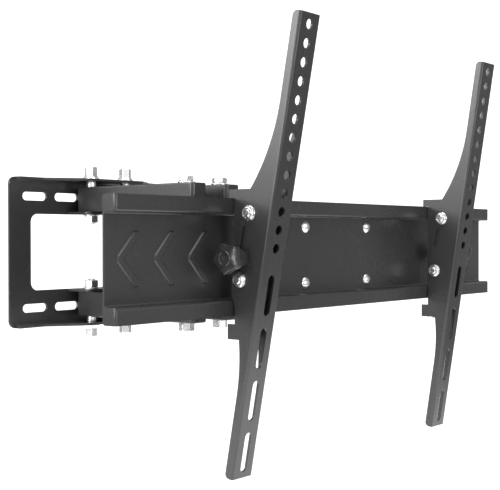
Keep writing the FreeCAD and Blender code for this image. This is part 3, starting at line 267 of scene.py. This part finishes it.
def solids(node):
    """The box of each separate solid of a CAD node, as its lowest and highest corner."""
    shell = bmesh.new()
    shell.from_mesh(frame["nodes"][node].data)
    bmesh.ops.remove_doubles(shell, verts=shell.verts, dist=1e-6)
    waiting = set(shell.verts)
    boxes = []
    while waiting:
        front = [waiting.pop()]
        found = list(front)
        while front:
            vertex = front.pop()
            near = {edge.other_vert(vertex) for edge in vertex.link_edges} & waiting
            waiting -= near
            front.extend(near)
            found.extend(near)
        corners = np.array([vertex.co for vertex in found])
        boxes.append((corners.min(0), corners.max(0)))
    shell.free()
    return sorted(boxes, key=lambda box: box[0].tolist())


def body_of(node):
    """The body that a CAD node rides on."""
    bodies = frame["record"]["behaviour"]["bodies"]
    return next(body for body, members in bodies.items() if node in members)


def seat(box, axis, facing):
    """The point on a solid's middle line at the end that it faces away from, and its direction."""
    low, high = box
    along = ALONG[axis]
    place = (low + high) / 2
    place[along] = low[along] if facing > 0 else high[along]
    direction = [0.0, 0.0, 0.0]
    direction[along] = float(facing)
    return place, direction


def span(box, axis):
    """A solid's length along an axis."""
    low, high = box
    return high[ALONG[axis]] - low[ALONG[axis]]


# Materials.

def make_group(name, inputs, outputs):
    """An empty shader node group with named sockets."""
    group = bpy.data.node_groups.new(name, "ShaderNodeTree")
    for socket, kind, value in inputs:
        made = group.interface.new_socket(socket, in_out="INPUT", socket_type=kind)
        made.default_value = value
    for socket, kind in outputs:
        group.interface.new_socket(socket, in_out="OUTPUT", socket_type=kind)
    entry = group.nodes.new("NodeGroupInput")
    leave = group.nodes.new("NodeGroupOutput")
    return group, entry, leave


def add_node(tree, kind, values=(), **settings):
    """A node of a kind, with its settings and the values of its input sockets."""
    node = tree.nodes.new(kind)
    for key, value in settings.items():
        setattr(node, key, value)
    for socket, value in dict(values).items():
        node.inputs[socket].default_value = value
    return node


def make_grain_group():
    """Surface grain on Object coordinates: a fine noise for the bump, a broad one for the tone and
    roughness, and small pips where a third noise peaks."""
    group, entry, leave = make_group(
        "surface_grain",
        [("Grain Scale", "NodeSocketFloat", 900.0), ("Grain Depth", "NodeSocketFloat", 0.2),
         ("Tone Scale", "NodeSocketFloat", 12.0), ("Dark", "NodeSocketColor", (0.02, 0.02, 0.02, 1)),
         ("Light", "NodeSocketColor", (0.03, 0.03, 0.03, 1)), ("Rough Low", "NodeSocketFloat", 0.4),
         ("Rough High", "NodeSocketFloat", 0.5), ("Pip Scale", "NodeSocketFloat", 420.0),
         ("Pip Tone", "NodeSocketColor", (0.04, 0.04, 0.04, 1)), ("Pip Share", "NodeSocketFloat", 0.5)],
        [("Color", "NodeSocketColor"), ("Roughness", "NodeSocketFloat"),
         ("Normal", "NodeSocketVector")])
    place = add_node(group, "ShaderNodeTexCoord")
    fine = add_node(group, "ShaderNodeTexNoise", {"Detail": 3.0, "Roughness": 0.6})
    broad = add_node(group, "ShaderNodeTexNoise", {"Detail": 4.0, "Roughness": 0.55})
    pips = add_node(group, "ShaderNodeTexNoise", {"Detail": 2.0, "Roughness": 0.5})
    bump = add_node(group, "ShaderNodeBump", {"Distance": 0.0002})
    tone = add_node(group, "ShaderNodeMix", data_type="RGBA")
    spread = add_node(group, "ShaderNodeMapRange", {"From Min": 0.3, "From Max": 0.7})
    rough = add_node(group, "ShaderNodeMapRange", {"From Min": 0.0, "From Max": 1.0})
    peak = add_node(group, "ShaderNodeMapRange", {"From Min": 0.56, "From Max": 0.72})
    share = add_node(group, "ShaderNodeMath", operation="MULTIPLY")
    speckled = add_node(group, "ShaderNodeMix", data_type="RGBA")
    wire = group.links.new
    for noise, scale in ((fine, "Grain Scale"), (broad, "Tone Scale"), (pips, "Pip Scale")):
        wire(place.outputs["Object"], noise.inputs["Vector"])
        wire(entry.outputs[scale], noise.inputs["Scale"])
    wire(fine.outputs["Fac"], bump.inputs["Height"])
    wire(entry.outputs["Grain Depth"], bump.inputs["Strength"])
    wire(broad.outputs["Fac"], spread.inputs["Value"])
    wire(spread.outputs["Result"], tone.inputs["Factor"])
    wire(entry.outputs["Dark"], tone.inputs[6])
    wire(entry.outputs["Light"], tone.inputs[7])
    wire(spread.outputs["Result"], rough.inputs["Value"])
    wire(entry.outputs["Rough Low"], rough.inputs["To Min"])
    wire(entry.outputs["Rough High"], rough.inputs["To Max"])
    wire(pips.outputs["Fac"], peak.inputs["Value"])
    wire(peak.outputs["Result"], share.inputs[0])
    wire(entry.outputs["Pip Share"], share.inputs[1])
    wire(share.outputs["Value"], speckled.inputs["Factor"])
    wire(tone.outputs[2], speckled.inputs[6])
    wire(entry.outputs["Pip Tone"], speckled.inputs[7])
    wire(speckled.outputs[2], leave.inputs["Color"])
    wire(rough.outputs["Result"], leave.inputs["Roughness"])
    wire(bump.outputs["Normal"], leave.inputs["Normal"])
    return group


GRAIN = make_grain_group()


def make_finish(name, grain, shader):
    """A material whose colour, roughness and normal come from the grain group."""
    material = bpy.data.materials.new(name)
    material.use_nodes = True
    tree = material.node_tree
    surface = tree.nodes["Principled BSDF"]
    for socket, value in shader.items():
        surface.inputs[socket].default_value = value
    texture = add_node(tree, "ShaderNodeGroup", node_tree=GRAIN)
    for socket, value in grain.items():
        texture.inputs[socket].default_value = value
    for output, socket in (("Color", "Base Color"), ("Roughness", "Roughness"), ("Normal", "Normal")):
        tree.links.new(texture.outputs[output], surface.inputs[socket])
    return material


def grey(value, tint=0.0):
    """A grey with a slight blue tint."""
    return (value, value, value * (1 + tint), 1)


COAT = make_finish(
    "powder_coat",
    {"Grain Scale": 1300.0, "Grain Depth": 0.22, "Tone Scale": 8.0, "Dark": grey(0.024, 0.02),
     "Light": grey(0.031, 0.02), "Rough Low": 0.24, "Rough High": 0.30, "Pip Scale": 900.0,
     "Pip Tone": grey(0.06, 0.02), "Pip Share": 0.35},
    {"Specular IOR Level": 0.5})
ZINC = make_finish(
    "bright_zinc",
    {"Grain Scale": 500.0, "Grain Depth": 0.05, "Tone Scale": 110.0, "Dark": grey(0.70, 0.015),
     "Light": grey(0.88, 0.015), "Rough Low": 0.20, "Rough High": 0.32, "Pip Scale": 300.0,
     "Pip Tone": grey(0.55), "Pip Share": 0.3},
    {"Metallic": 1.0})
PLASTIC = make_finish(
    "knob_plastic",
    {"Grain Scale": 1000.0, "Grain Depth": 0.06, "Tone Scale": 40.0, "Dark": grey(0.020),
     "Light": grey(0.028), "Rough Low": 0.24, "Rough High": 0.32, "Pip Scale": 700.0,
     "Pip Tone": grey(0.045), "Pip Share": 0.2},
    {"Specular IOR Level": 0.55})
NYLON = make_finish(
    "nylon",
    {"Grain Scale": 700.0, "Grain Depth": 0.1, "Tone Scale": 60.0, "Dark": grey(0.2),
     "Light": grey(0.26), "Rough Low": 0.45, "Rough High": 0.6, "Pip Share": 0.0},
    {})


# Sheet metal: the CAD nodes, with their edges eased.

SHEETS = ("wall_plate", "swing_arm", "front_arm", "swivel_bracket", "cross_plate", "hook_plate",
          "tv_bracket")
EASED = 0.5 * MM
SHARP_ANGLE = 32


def finish_node(node, material):
    """Give a CAD node its finish and ease its sharp edges with a small bevel."""
    piece = frame["nodes"][node]
    piece.data.materials.clear()
    piece.data.materials.append(material)
    weld = piece.modifiers.new("weld", "WELD")
    weld.merge_threshold = 1e-6
    bevel = piece.modifiers.new("eased_edges", "BEVEL")
    bevel.width = EASED
    bevel.segments = 3
    bevel.limit_method = "ANGLE"
    bevel.angle_limit = math.radians(SHARP_ANGLE)
    bevel.harden_normals = True


for node in frame["nodes"]:
    if node.startswith(SHEETS):
        finish_node(node, COAT)


# Fasteners. A solid's box says where each one is, and its own sizes stand here.

PIVOT_FLATS, PIVOT_HEAD, PIVOT_FLANGE = 11.1 * MM, 12.4 * MM, 8.2 * MM
M8_FLATS, M8_HEAD = 13 * MM, 5.3 * MM
M10_FLATS, M10_HEAD = 15.9 * MM, 6.3 * MM
M6_FLATS = 10 * MM
THREAD_REACH = 14 * MM

# The tilt and guide bolts: low nuts, and shanks that end short of the box they are given.
LOW_FLATS, LOW_NUT, LOW_HEAD = 12.6 * MM, 3.0 * MM, 5.3 * MM
LOW_THREAD, LOW_SHORT, LOW_COLLAR, LOW_BORE = 6 * MM, 2.3 * MM, 1.1 * MM, 0.92

# How far each bracket leans at rest, in degrees.
LEAN = {"left": 10.8, "right": 9.0}


def bolt_shape(head, radius, reach, pitch=COARSE, threaded=THREAD_REACH):
    """A head on its seat at zero, with a plain shank below it that ends in a thread."""
    return joined(head, rod(radius * 0.985, -reach + threaded - pitch, 0.2 * MM),
                  thread(radius, -reach, -reach + threaded, pitch))


def replace_solids(node, make, material):
    """One piece for a CAD node, made solid by solid from each one's box."""
    made = joined(*(make(number, box) for number, box in enumerate(solids(node))))
    add_piece(node + "_detail", made, material, body_of(node), (node,))


def ring_maker(axis, inner, bead=0.3 * MM):
    """Rings that fill each solid's box along an axis."""
    def make(number, box):
        across = "y" if axis == "x" else "x"
        place, direction = seat(box, axis, 1)
        outer = span(box, across) / 2
        return stood(flat_ring(inner, outer, span(box, axis), bead), place, direction)
    return make


def outward(box):
    """Up for a solid above the middle, down for one below it."""
    return 1 if box[0][2] + box[1][2] > 0 else -1


# How far each hexagon is turned from having a flat towards thirty degrees.
PIVOT_TURNS = (0.20, 0.03, -0.32, 0.41)
PIVOT_NUT_TURNS = (-0.15, 0.15, 0.32, -0.4)


def make_pivot_bolts():
    """Four flanged bolts through the wall plate's tabs, heads away from the middle."""
    head = hex_head(PIVOT_FLATS, PIVOT_HEAD, flange=PIVOT_FLANGE, rim=0.9 * MM)

    def make(number, box):
        facing = outward(box)
        place, inward = seat(box, "z", -facing)
        place[2] += inward[2] * PIVOT_HEAD
        shape = bolt_shape(head, M8, span(box, "z") - PIVOT_HEAD)
        return stood(shape, place, (0, 0, facing), PIVOT_TURNS[number])
    replace_solids("pivot_bolts", make, ZINC)


def make_pivot_nuts():
    """The pivot bolts' nuts, under the tabs."""
    def make(number, box):
        facing = outward(box)
        place, direction = seat(box, "z", -facing)
        shape = hex_nut(M8_FLATS, span(box, "z"), M8 * NUT_BORE)
        return stood(shape, place, direction, PIVOT_NUT_TURNS[number])
    replace_solids("pivot_nuts", make, ZINC)


def make_elbow_fasteners(side, head_turn, nut_turn):
    """A long bolt down through the elbow, with its washer and nut."""
    def make_bolt(number, box):
        place, _ = seat(box, "z", -1)
        place[2] -= M8_HEAD
        shape = bolt_shape(hex_head(M8_FLATS, M8_HEAD), M8, span(box, "z") - M8_HEAD)
        return stood(shape, place, (0, 0, 1), head_turn)

    def make_nut(number, box):
        place, direction = seat(box, "z", -1)
        nut = hex_nut(M8_FLATS, span(box, "z"), M8 * NUT_BORE)
        return stood(nut, place, direction, nut_turn)
    replace_solids("elbow_bolt_" + side, make_bolt, ZINC)
    replace_solids("elbow_washer_" + side, ring_maker("z", M8 * WASHER_BORE), ZINC)
    replace_solids("elbow_nut_" + side, make_nut, ZINC)


def make_swivel_fasteners():
    """The swivel pin's bolt, washers and nut."""
    def make_bolt(number, box):
        place, _ = seat(box, "z", -1)
        place[2] -= M10_HEAD
        shape = bolt_shape(hex_head(M10_FLATS, M10_HEAD), M10, span(box, "z") - M10_HEAD)
        return stood(shape, place, (0, 0, 1), 0.1)

    def make_nut(number, box):
        place, direction = seat(box, "z", -1)
        nut = hex_nut(M10_FLATS, span(box, "z"), M10 * NUT_BORE)
        return stood(nut, place, direction, -0.2)
    replace_solids("swivel_bolt", make_bolt, ZINC)
    replace_solids("swivel_washers", ring_maker("z", M10 * WASHER_BORE), ZINC)
    replace_solids("swivel_nut", make_nut, ZINC)


def make_carriage_fasteners():
    """Domed bolts through the cross plate: each dome is a cap of a ball over a thin rim, and a
    square neck and a thread run back to the washer and nut."""
    dome_radius, dome_height, neck, sheet = 6.4 * MM, 3.6 * MM, 3.1 * MM, 2.0 * MM
    rim = 0.5 * MM
    cap = dome_height - rim
    ball = (dome_radius ** 2 / cap + cap) / 2
    lean = np.linspace(math.asin(dome_radius / ball) * 0.97, 0, 14)
    rows = [(0, 0), (dome_radius - 0.2 * MM, 0), (dome_radius, 0.15 * MM), (dome_radius, rim * 0.9)]
    rows += [(ball * math.sin(a), dome_height - ball + ball * math.cos(a)) for a in lean]
    square = round_angles(48)
    facing = np.cos(square[:, None] - np.arange(4) * TURN / 4).clip(1e-6)
    wall = neck / (facing ** SHARPNESS).sum(1) ** (1 / SHARPNESS)
    necks = turned([(0, 0.1 * MM), (wall, 0.1 * MM), (wall, -sheet), (0, -sheet)], 48)

    def make_bolt(number, box):
        place, _ = seat(box, "y", 1)
        place[1] += dome_height
        shank = thread(M6, dome_height - span(box, "y"), -sheet + 0.1 * MM, FINE)
        return stood(joined(turned(rows), necks, shank), place, (0, -1, 0))

    def make_nut(number, box):
        place, direction = seat(box, "y", 1)
        shape = hex_nut(M6_FLATS, span(box, "y"), M6 * NUT_BORE, steps=96)
        return stood(shape, place, direction, 0.3 + 0.5 * number)
    replace_solids("carriage_bolts", make_bolt, ZINC)
    replace_solids("carriage_washers", ring_maker("y", M6 * WASHER_BORE), ZINC)
    replace_solids("carriage_nuts", make_nut, ZINC)


def make_tilt_fasteners(side):
    """The tilt and guide bolts of one bracket, with thin washers and low nuts."""
    def make_bolt(number, box):
        place, _ = seat(box, "x", -1)
        place[0] -= LOW_HEAD
        reach = span(box, "x") - LOW_HEAD - LOW_SHORT
        shape = bolt_shape(hex_head(LOW_FLATS, LOW_HEAD), M8, reach, threaded=LOW_THREAD)
        return stood(shape, place, (1, 0, 0), 0.25 + 0.6 * number)

    def make_nut(number, box):
        place, direction = seat(box, "x", -1)
        shape = hex_nut(LOW_FLATS, LOW_NUT, M8 * LOW_BORE, collar=LOW_COLLAR)
        return stood(shape, place, direction, 0.1 + 0.4 * number)
    replace_solids("tilt_bolts_" + side, make_bolt, ZINC)
    replace_solids("tilt_washers_" + side, ring_maker("x", M8 * WASHER_BORE), ZINC)
    replace_solids("tilt_nuts_" + side, make_nut, ZINC)


def make_clamp_hardware(side):
    """The stud that the knob turns, and its nut and washer inside the hook plate, each a hair short
    of the sheet that it bears on, so that no two faces share a plane."""
    gap, washer_radius, thickest_washer = 0.03 * MM, 6.9 * MM, 3 * MM

    def make_nut(number, box):
        place, direction = seat(box, "x", 1)
        place[0] += gap
        length = span(box, "x") - 2 * gap
        if length > thickest_washer:
            return stood(hex_nut(M8_FLATS, length, M8 * NUT_BORE), place, direction, 0.2)
        return stood(flat_ring(M8 * WASHER_BORE, washer_radius, length), place, direction)

    def make_stud(number, box):
        place, direction = seat(box, "x", 1)
        return stood(thread(M8, 0, span(box, "x")), place, direction)
    replace_solids("clamp_nut_" + side, make_nut, ZINC)
    replace_solids("clamp_stud_" + side, make_stud, ZINC)


def make_safety_screw(side):
    """A pan head screw up through the hook plate's lower shelf: a shallow dome with a cross recess,
    whose depth falls off with a fourth power across each arm, under a thread."""
    head_radius, head_height, recess, arm, arm_width = (v * MM for v in (4.6, 3.0, 1.5, 2.6, 0.55))
    steps = 96
    angle = round_angles(steps)
    radius = np.linspace(head_radius * 0.97, 0, 22)
    x, y = radius * np.cos(angle)[:, None], radius * np.sin(angle)[:, None]
    dome = head_height - 0.9 * MM * (radius / head_radius) ** 4 - 0.5 * MM * (radius / head_radius) ** 2
    cross = np.maximum(np.exp(-(x / arm_width) ** 4 - (y / arm) ** 8),
                       np.exp(-(y / arm_width) ** 4 - (x / arm) ** 8))
    top = dome - recess * cross
    rows = [(0, 0), (head_radius - 0.2 * MM, 0), (head_radius, 0.2 * MM),
            (head_radius, head_height * 0.4)]
    rows += [(radius[row], top[:, row]) for row in range(len(radius))]

    def make(number, box):
        place, _ = seat(box, "z", -1)
        place[2] = box[0][2] + head_height
        length = span(box, "z") - head_height
        shape = joined(turned(rows, steps), thread(2.5 * MM, -length, 0.1 * MM, 0.8 * MM))
        return stood(shape, place, (0, 0, -1))
    replace_solids("safety_screw_" + side, make, ZINC)


def make_star_knob(side, sign):
    """A five-lobed knob: the wall is a rounded pentagon whose sides dip in the middle. A round hub
    flares into the lobes, a straight grip follows, and the crowned face has a ring round its cap."""
    steps, lobes, power, dip = 180, 5, 26, 0.045
    side_reach, lobe_reach, hub, neck, ring = (v * MM for v in (12.25, 14.6, 7.6, 9.2, 6.3))
    angle = round_angles(steps)
    first_side = TURN / 4
    sides = first_side + np.arange(lobes) * TURN / lobes
    facing = np.cos(angle[:, None] - sides).clip(1e-6)
    star = side_reach / (facing ** power).sum(1) ** (1 / power)
    star = star * (1 - dip * (0.5 + 0.5 * np.cos(lobes * (angle - first_side))) ** 2)
    star = np.minimum(star, lobe_reach)

    def between(share):
        return neck + (star - neck) * share

    rows = [(0, 0), (hub - 0.5 * MM, 0), (hub, 0.5 * MM), (hub, 6.0 * MM), (hub + 0.4 * MM, 6.7 * MM),
            (neck - 0.5 * MM, 7.2 * MM), (neck, 7.8 * MM), (neck, 12.6 * MM), (between(0.2), 13.6 * MM),
            (between(0.86), 16.6 * MM), (between(0.97), 17.2 * MM), (between(1.0), 17.9 * MM),
            (star, 23.0 * MM), (star - 0.12 * MM, 23.5 * MM), (star - 0.5 * MM, 23.95 * MM),
            (star - 1.0 * MM, 24.2 * MM), (star - 2.2 * MM, 24.5 * MM)]
    for share, height in ((0.66, 24.85), (0.33, 25.1), (0.1, 25.2)):
        rows.append((ring + 0.7 * MM + (star - 2.2 * MM - ring - 0.7 * MM) * share, height * MM))
    rows += [(ring + 0.45 * MM, 25.25 * MM), (ring + 0.15 * MM, 26.0 * MM),
             (ring - 0.05 * MM, 26.2 * MM), (ring - 0.5 * MM, 26.2 * MM),
             (ring - 0.75 * MM, 26.0 * MM), (ring - 0.95 * MM, 25.5 * MM),
             (ring - 1.4 * MM, 25.45 * MM), (ring * 0.5, 25.5 * MM), (0.9 * MM, 25.55 * MM),
             (0.6 * MM, 25.4 * MM), (0, 25.35 * MM)]
    points, faces = turned(rows, steps)
    box_low, box_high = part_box("clamp_knob_" + side)
    stud_low, stud_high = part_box("clamp_stud_" + side)
    place = (np.array(stud_low) + np.array(stud_high)) / 2
    place[0] = box_high[0] if sign < 0 else box_low[0]
    leaned = np.array(Matrix.Rotation(math.radians(LEAN[side]), 3, "X"))
    upright = np.stack([sign * points[:, 2], points[:, 0], points[:, 1]], axis=1)
    add_piece("star_knob_" + side, (upright @ leaned.T + place, faces), PLASTIC, "knob_" + side,
              ("clamp_knob_" + side,), smooth=30)


for fill in (make_pivot_bolts, make_pivot_nuts, make_swivel_fasteners, make_carriage_fasteners):
    fill()
replace_solids("pivot_spacers", ring_maker("z", M8 * SPACER_BORE, 0.2 * MM), ZINC)
replace_solids("pivot_washers", ring_maker("z", M8 * WASHER_BORE), ZINC)
replace_solids("elbow_bearings", ring_maker("z", M8 * BUSH_BORE, 0.5 * MM), NYLON)
replace_solids("elbow_sleeves", ring_maker("z", M8 * BUSH_BORE, 0.4 * MM), ZINC)
make_elbow_fasteners("left", -0.23, -0.14)
make_elbow_fasteners("right", 0.03, 0.52)
for side, sign in SIDES:
    replace_solids("arm_bushes_" + side, ring_maker("z", M8 * BUSH_BORE, 0.4 * MM), ZINC)
    make_tilt_fasteners(side)
    make_clamp_hardware(side)
    make_safety_screw(side)
    make_star_knob(side, sign)


# The studio.

# Each window: the direction it is seen in (degrees from X towards Y, then up), the half-widths
# inside and outside its soft edge, how much its height is squeezed, and its strength.
WINDOWS = (
    (145, 18, 7, 17, 1.0, 10.5),
    (159, 15, 5, 12, 1.0, 5.0),
    (182, 6, 4, 10, 0.5, 12.0),
    (205, 5, 10, 22, 0.6, 1.1),
    (240, 5, 10, 22, 0.6, 0.9),
    (268, 6, 4, 10, 0.5, 9.0),
    (292, 5, 10, 20, 0.6, 0.6),
    (20, 5, 10, 25, 0.6, 1.8),
    (230, 75, 20, 40, 1.0, 3.0),
)
ROOM_LIGHT = 0.38

# The floor's grey, and the glow that reflections see in it, which fades between two distances.
FLOOR_TONE = 0.26
FLOOR_GLOW = 1.8
FLOOR_POOL = (0.5, 1.05)

def make_floor():
    """A pale floor that curves up into a backdrop behind the object: a line in front, a quarter
    circle, and a line up, carried across. The camera sees it white, and reflections see a pool of
    light under the object."""
    width, front, back, height, bend = 6.0, -4.0, 3.5, 5.0, 1.2
    level = cad_low[2] - 0.06
    curve = np.linspace(0, TURN / 4, 16)
    run = np.concatenate([[front], back - bend + bend * np.sin(curve), [back]])
    rise = np.concatenate([[level], level + bend - bend * np.cos(curve), [height]])
    across = np.array([-width, width])
    heading = math.radians(CAMERA_YAW)
    points = np.empty((2, len(run), 3))
    points[..., 0] = across[:, None] * math.cos(heading) + run * math.sin(heading)
    points[..., 1] = -across[:, None] * math.sin(heading) + run * math.cos(heading)
    points[..., 2] = rise
    index = np.arange(points.shape[0] * points.shape[1]).reshape(points.shape[:2])
    faces = np.stack([index[0, :-1], index[1, :-1], index[1, 1:], index[0, 1:]], axis=-1)
    mesh = bpy.data.meshes.new("floor")
    mesh.from_pydata(points.reshape(-1, 3).tolist(), [], faces.tolist())
    for face in mesh.polygons:
        face.use_smooth = True
    floor = bpy.data.objects.new("floor", mesh)
    bpy.context.scene.collection.objects.link(floor)
    material = bpy.data.materials.new("floor_paper")
    material.use_nodes = True
    tree = material.node_tree
    surface = tree.nodes["Principled BSDF"]
    surface.inputs["Base Color"].default_value = grey(FLOOR_TONE)
    surface.inputs["Roughness"].default_value = 0.9
    surface.inputs["Specular IOR Level"].default_value = 0.0
    surface.inputs["Emission Color"].default_value = (1, 1, 1, 1)
    place = add_node(tree, "ShaderNodeTexCoord")
    distance = add_node(tree, "ShaderNodeVectorMath", operation="LENGTH")
    pool = add_node(tree, "ShaderNodeMapRange", {
        "From Min": FLOOR_POOL[0], "From Max": FLOOR_POOL[1], "To Min": FLOOR_GLOW, "To Max": 0.0},
        interpolation_type="SMOOTHSTEP")
    ray = add_node(tree, "ShaderNodeLightPath")
    glow = add_node(tree, "ShaderNodeMix", {3: 1.0})
    tree.links.new(place.outputs["Object"], distance.inputs[0])
    tree.links.new(distance.outputs["Value"], pool.inputs["Value"])
    tree.links.new(ray.outputs["Is Camera Ray"], glow.inputs[0])
    tree.links.new(pool.outputs["Result"], glow.inputs[2])
    tree.links.new(glow.outputs[0], surface.inputs["Emission Strength"])
    mesh.materials.append(material)


def make_camera():
    """The camera: level but for a slight pitch and roll, looking in from the left."""
    yaw, pitch, roll = (math.radians(a) for a in (CAMERA_YAW, CAMERA_PITCH, CAMERA_ROLL))
    ahead = Vector((math.sin(yaw), math.cos(yaw), 0))
    right = Vector((math.cos(yaw), -math.sin(yaw), 0))
    up = Vector((0, 0, 1))
    view = ahead * math.cos(pitch) + up * math.sin(pitch)
    over = up * math.cos(pitch) - ahead * math.sin(pitch)
    side = right * math.cos(roll) + over * math.sin(roll)
    top = over * math.cos(roll) - right * math.sin(roll)
    data = bpy.data.cameras.new("camera")
    data.lens = CAMERA_LENS
    data.sensor_width = 36.0
    camera = bpy.data.objects.new("camera", data)
    heading = Matrix((side, top, -view)).transposed().to_4x4()
    camera.matrix_world = Matrix.Translation(Vector(CAMERA_PLACE)) @ heading
    bpy.context.scene.collection.objects.link(camera)
    bpy.context.scene.camera = camera


def make_spot_group():
    """One soft window of light in the world: the direction is flattened or stretched upwards, and
    its cosine to the window's middle is faded in between two limits and scaled."""
    group, entry, leave = make_group(
        "soft_window",
        [("Middle", "NodeSocketVector", (0, 0, 1)), ("Outer", "NodeSocketFloat", 0.8),
         ("Inner", "NodeSocketFloat", 0.9), ("Stretch", "NodeSocketVector", (1, 1, 1)),
         ("Strength", "NodeSocketFloat", 1.0)],
        [("Light", "NodeSocketFloat")])
    place = add_node(group, "ShaderNodeTexCoord")
    shaped = add_node(group, "ShaderNodeVectorMath", operation="MULTIPLY")
    unit = add_node(group, "ShaderNodeVectorMath", operation="NORMALIZE")
    cosine = add_node(group, "ShaderNodeVectorMath", operation="DOT_PRODUCT")
    fade = add_node(group, "ShaderNodeMapRange", interpolation_type="SMOOTHERSTEP")
    wire = group.links.new
    wire(place.outputs["Generated"], shaped.inputs[0])
    wire(entry.outputs["Stretch"], shaped.inputs[1])
    wire(shaped.outputs["Vector"], unit.inputs[0])
    wire(unit.outputs["Vector"], cosine.inputs[0])
    wire(entry.outputs["Middle"], cosine.inputs[1])
    wire(cosine.outputs["Value"], fade.inputs["Value"])
    wire(entry.outputs["Outer"], fade.inputs["From Min"])
    wire(entry.outputs["Inner"], fade.inputs["From Max"])
    wire(entry.outputs["Strength"], fade.inputs["To Max"])
    wire(fade.outputs["Result"], leave.inputs["Light"])
    return group


def make_world():
    """A dim room with soft windows of light, plain white where the camera sees past the floor."""
    world = bpy.data.worlds.new("studio")
    world.use_nodes = True
    tree = world.node_tree
    tree.nodes.clear()
    group = make_spot_group()
    total = None
    for azimuth, elevation, inner, outer, rise, strength in WINDOWS:
        across, up = math.radians(azimuth), math.radians(elevation)
        level = math.cos(up)
        middle = Vector((math.cos(across) * level, math.sin(across) * level, math.sin(up) * rise))
        window = add_node(tree, "ShaderNodeGroup", {
            "Middle": middle.normalized(), "Outer": math.cos(math.radians(outer)),
            "Inner": math.cos(math.radians(inner)), "Stretch": (1.0, 1.0, rise),
            "Strength": strength}, node_tree=group)
        added = add_node(tree, "ShaderNodeMath", {1: ROOM_LIGHT}, operation="ADD")
        tree.links.new(window.outputs["Light"], added.inputs[0])
        if total:
            tree.links.new(total.outputs["Value"], added.inputs[1])
        total = added
    lit = add_node(tree, "ShaderNodeBackground", {"Color": (1, 1, 1, 1)})
    plain = add_node(tree, "ShaderNodeBackground", {"Color": (1, 1, 1, 1), "Strength": 1.0})
    ray = add_node(tree, "ShaderNodeLightPath")
    chosen = add_node(tree, "ShaderNodeMixShader")
    output = add_node(tree, "ShaderNodeOutputWorld")
    tree.links.new(total.outputs["Value"], lit.inputs["Strength"])
    tree.links.new(ray.outputs["Is Camera Ray"], chosen.inputs["Fac"])
    tree.links.new(lit.outputs["Background"], chosen.inputs[1])
    tree.links.new(plain.outputs["Background"], chosen.inputs[2])
    tree.links.new(chosen.outputs["Shader"], output.inputs["Surface"])
    bpy.context.scene.world = world
    view = bpy.context.scene.view_settings
    view.view_transform = "Standard"
    view.look = "None"


make_camera()
make_floor()
make_world()
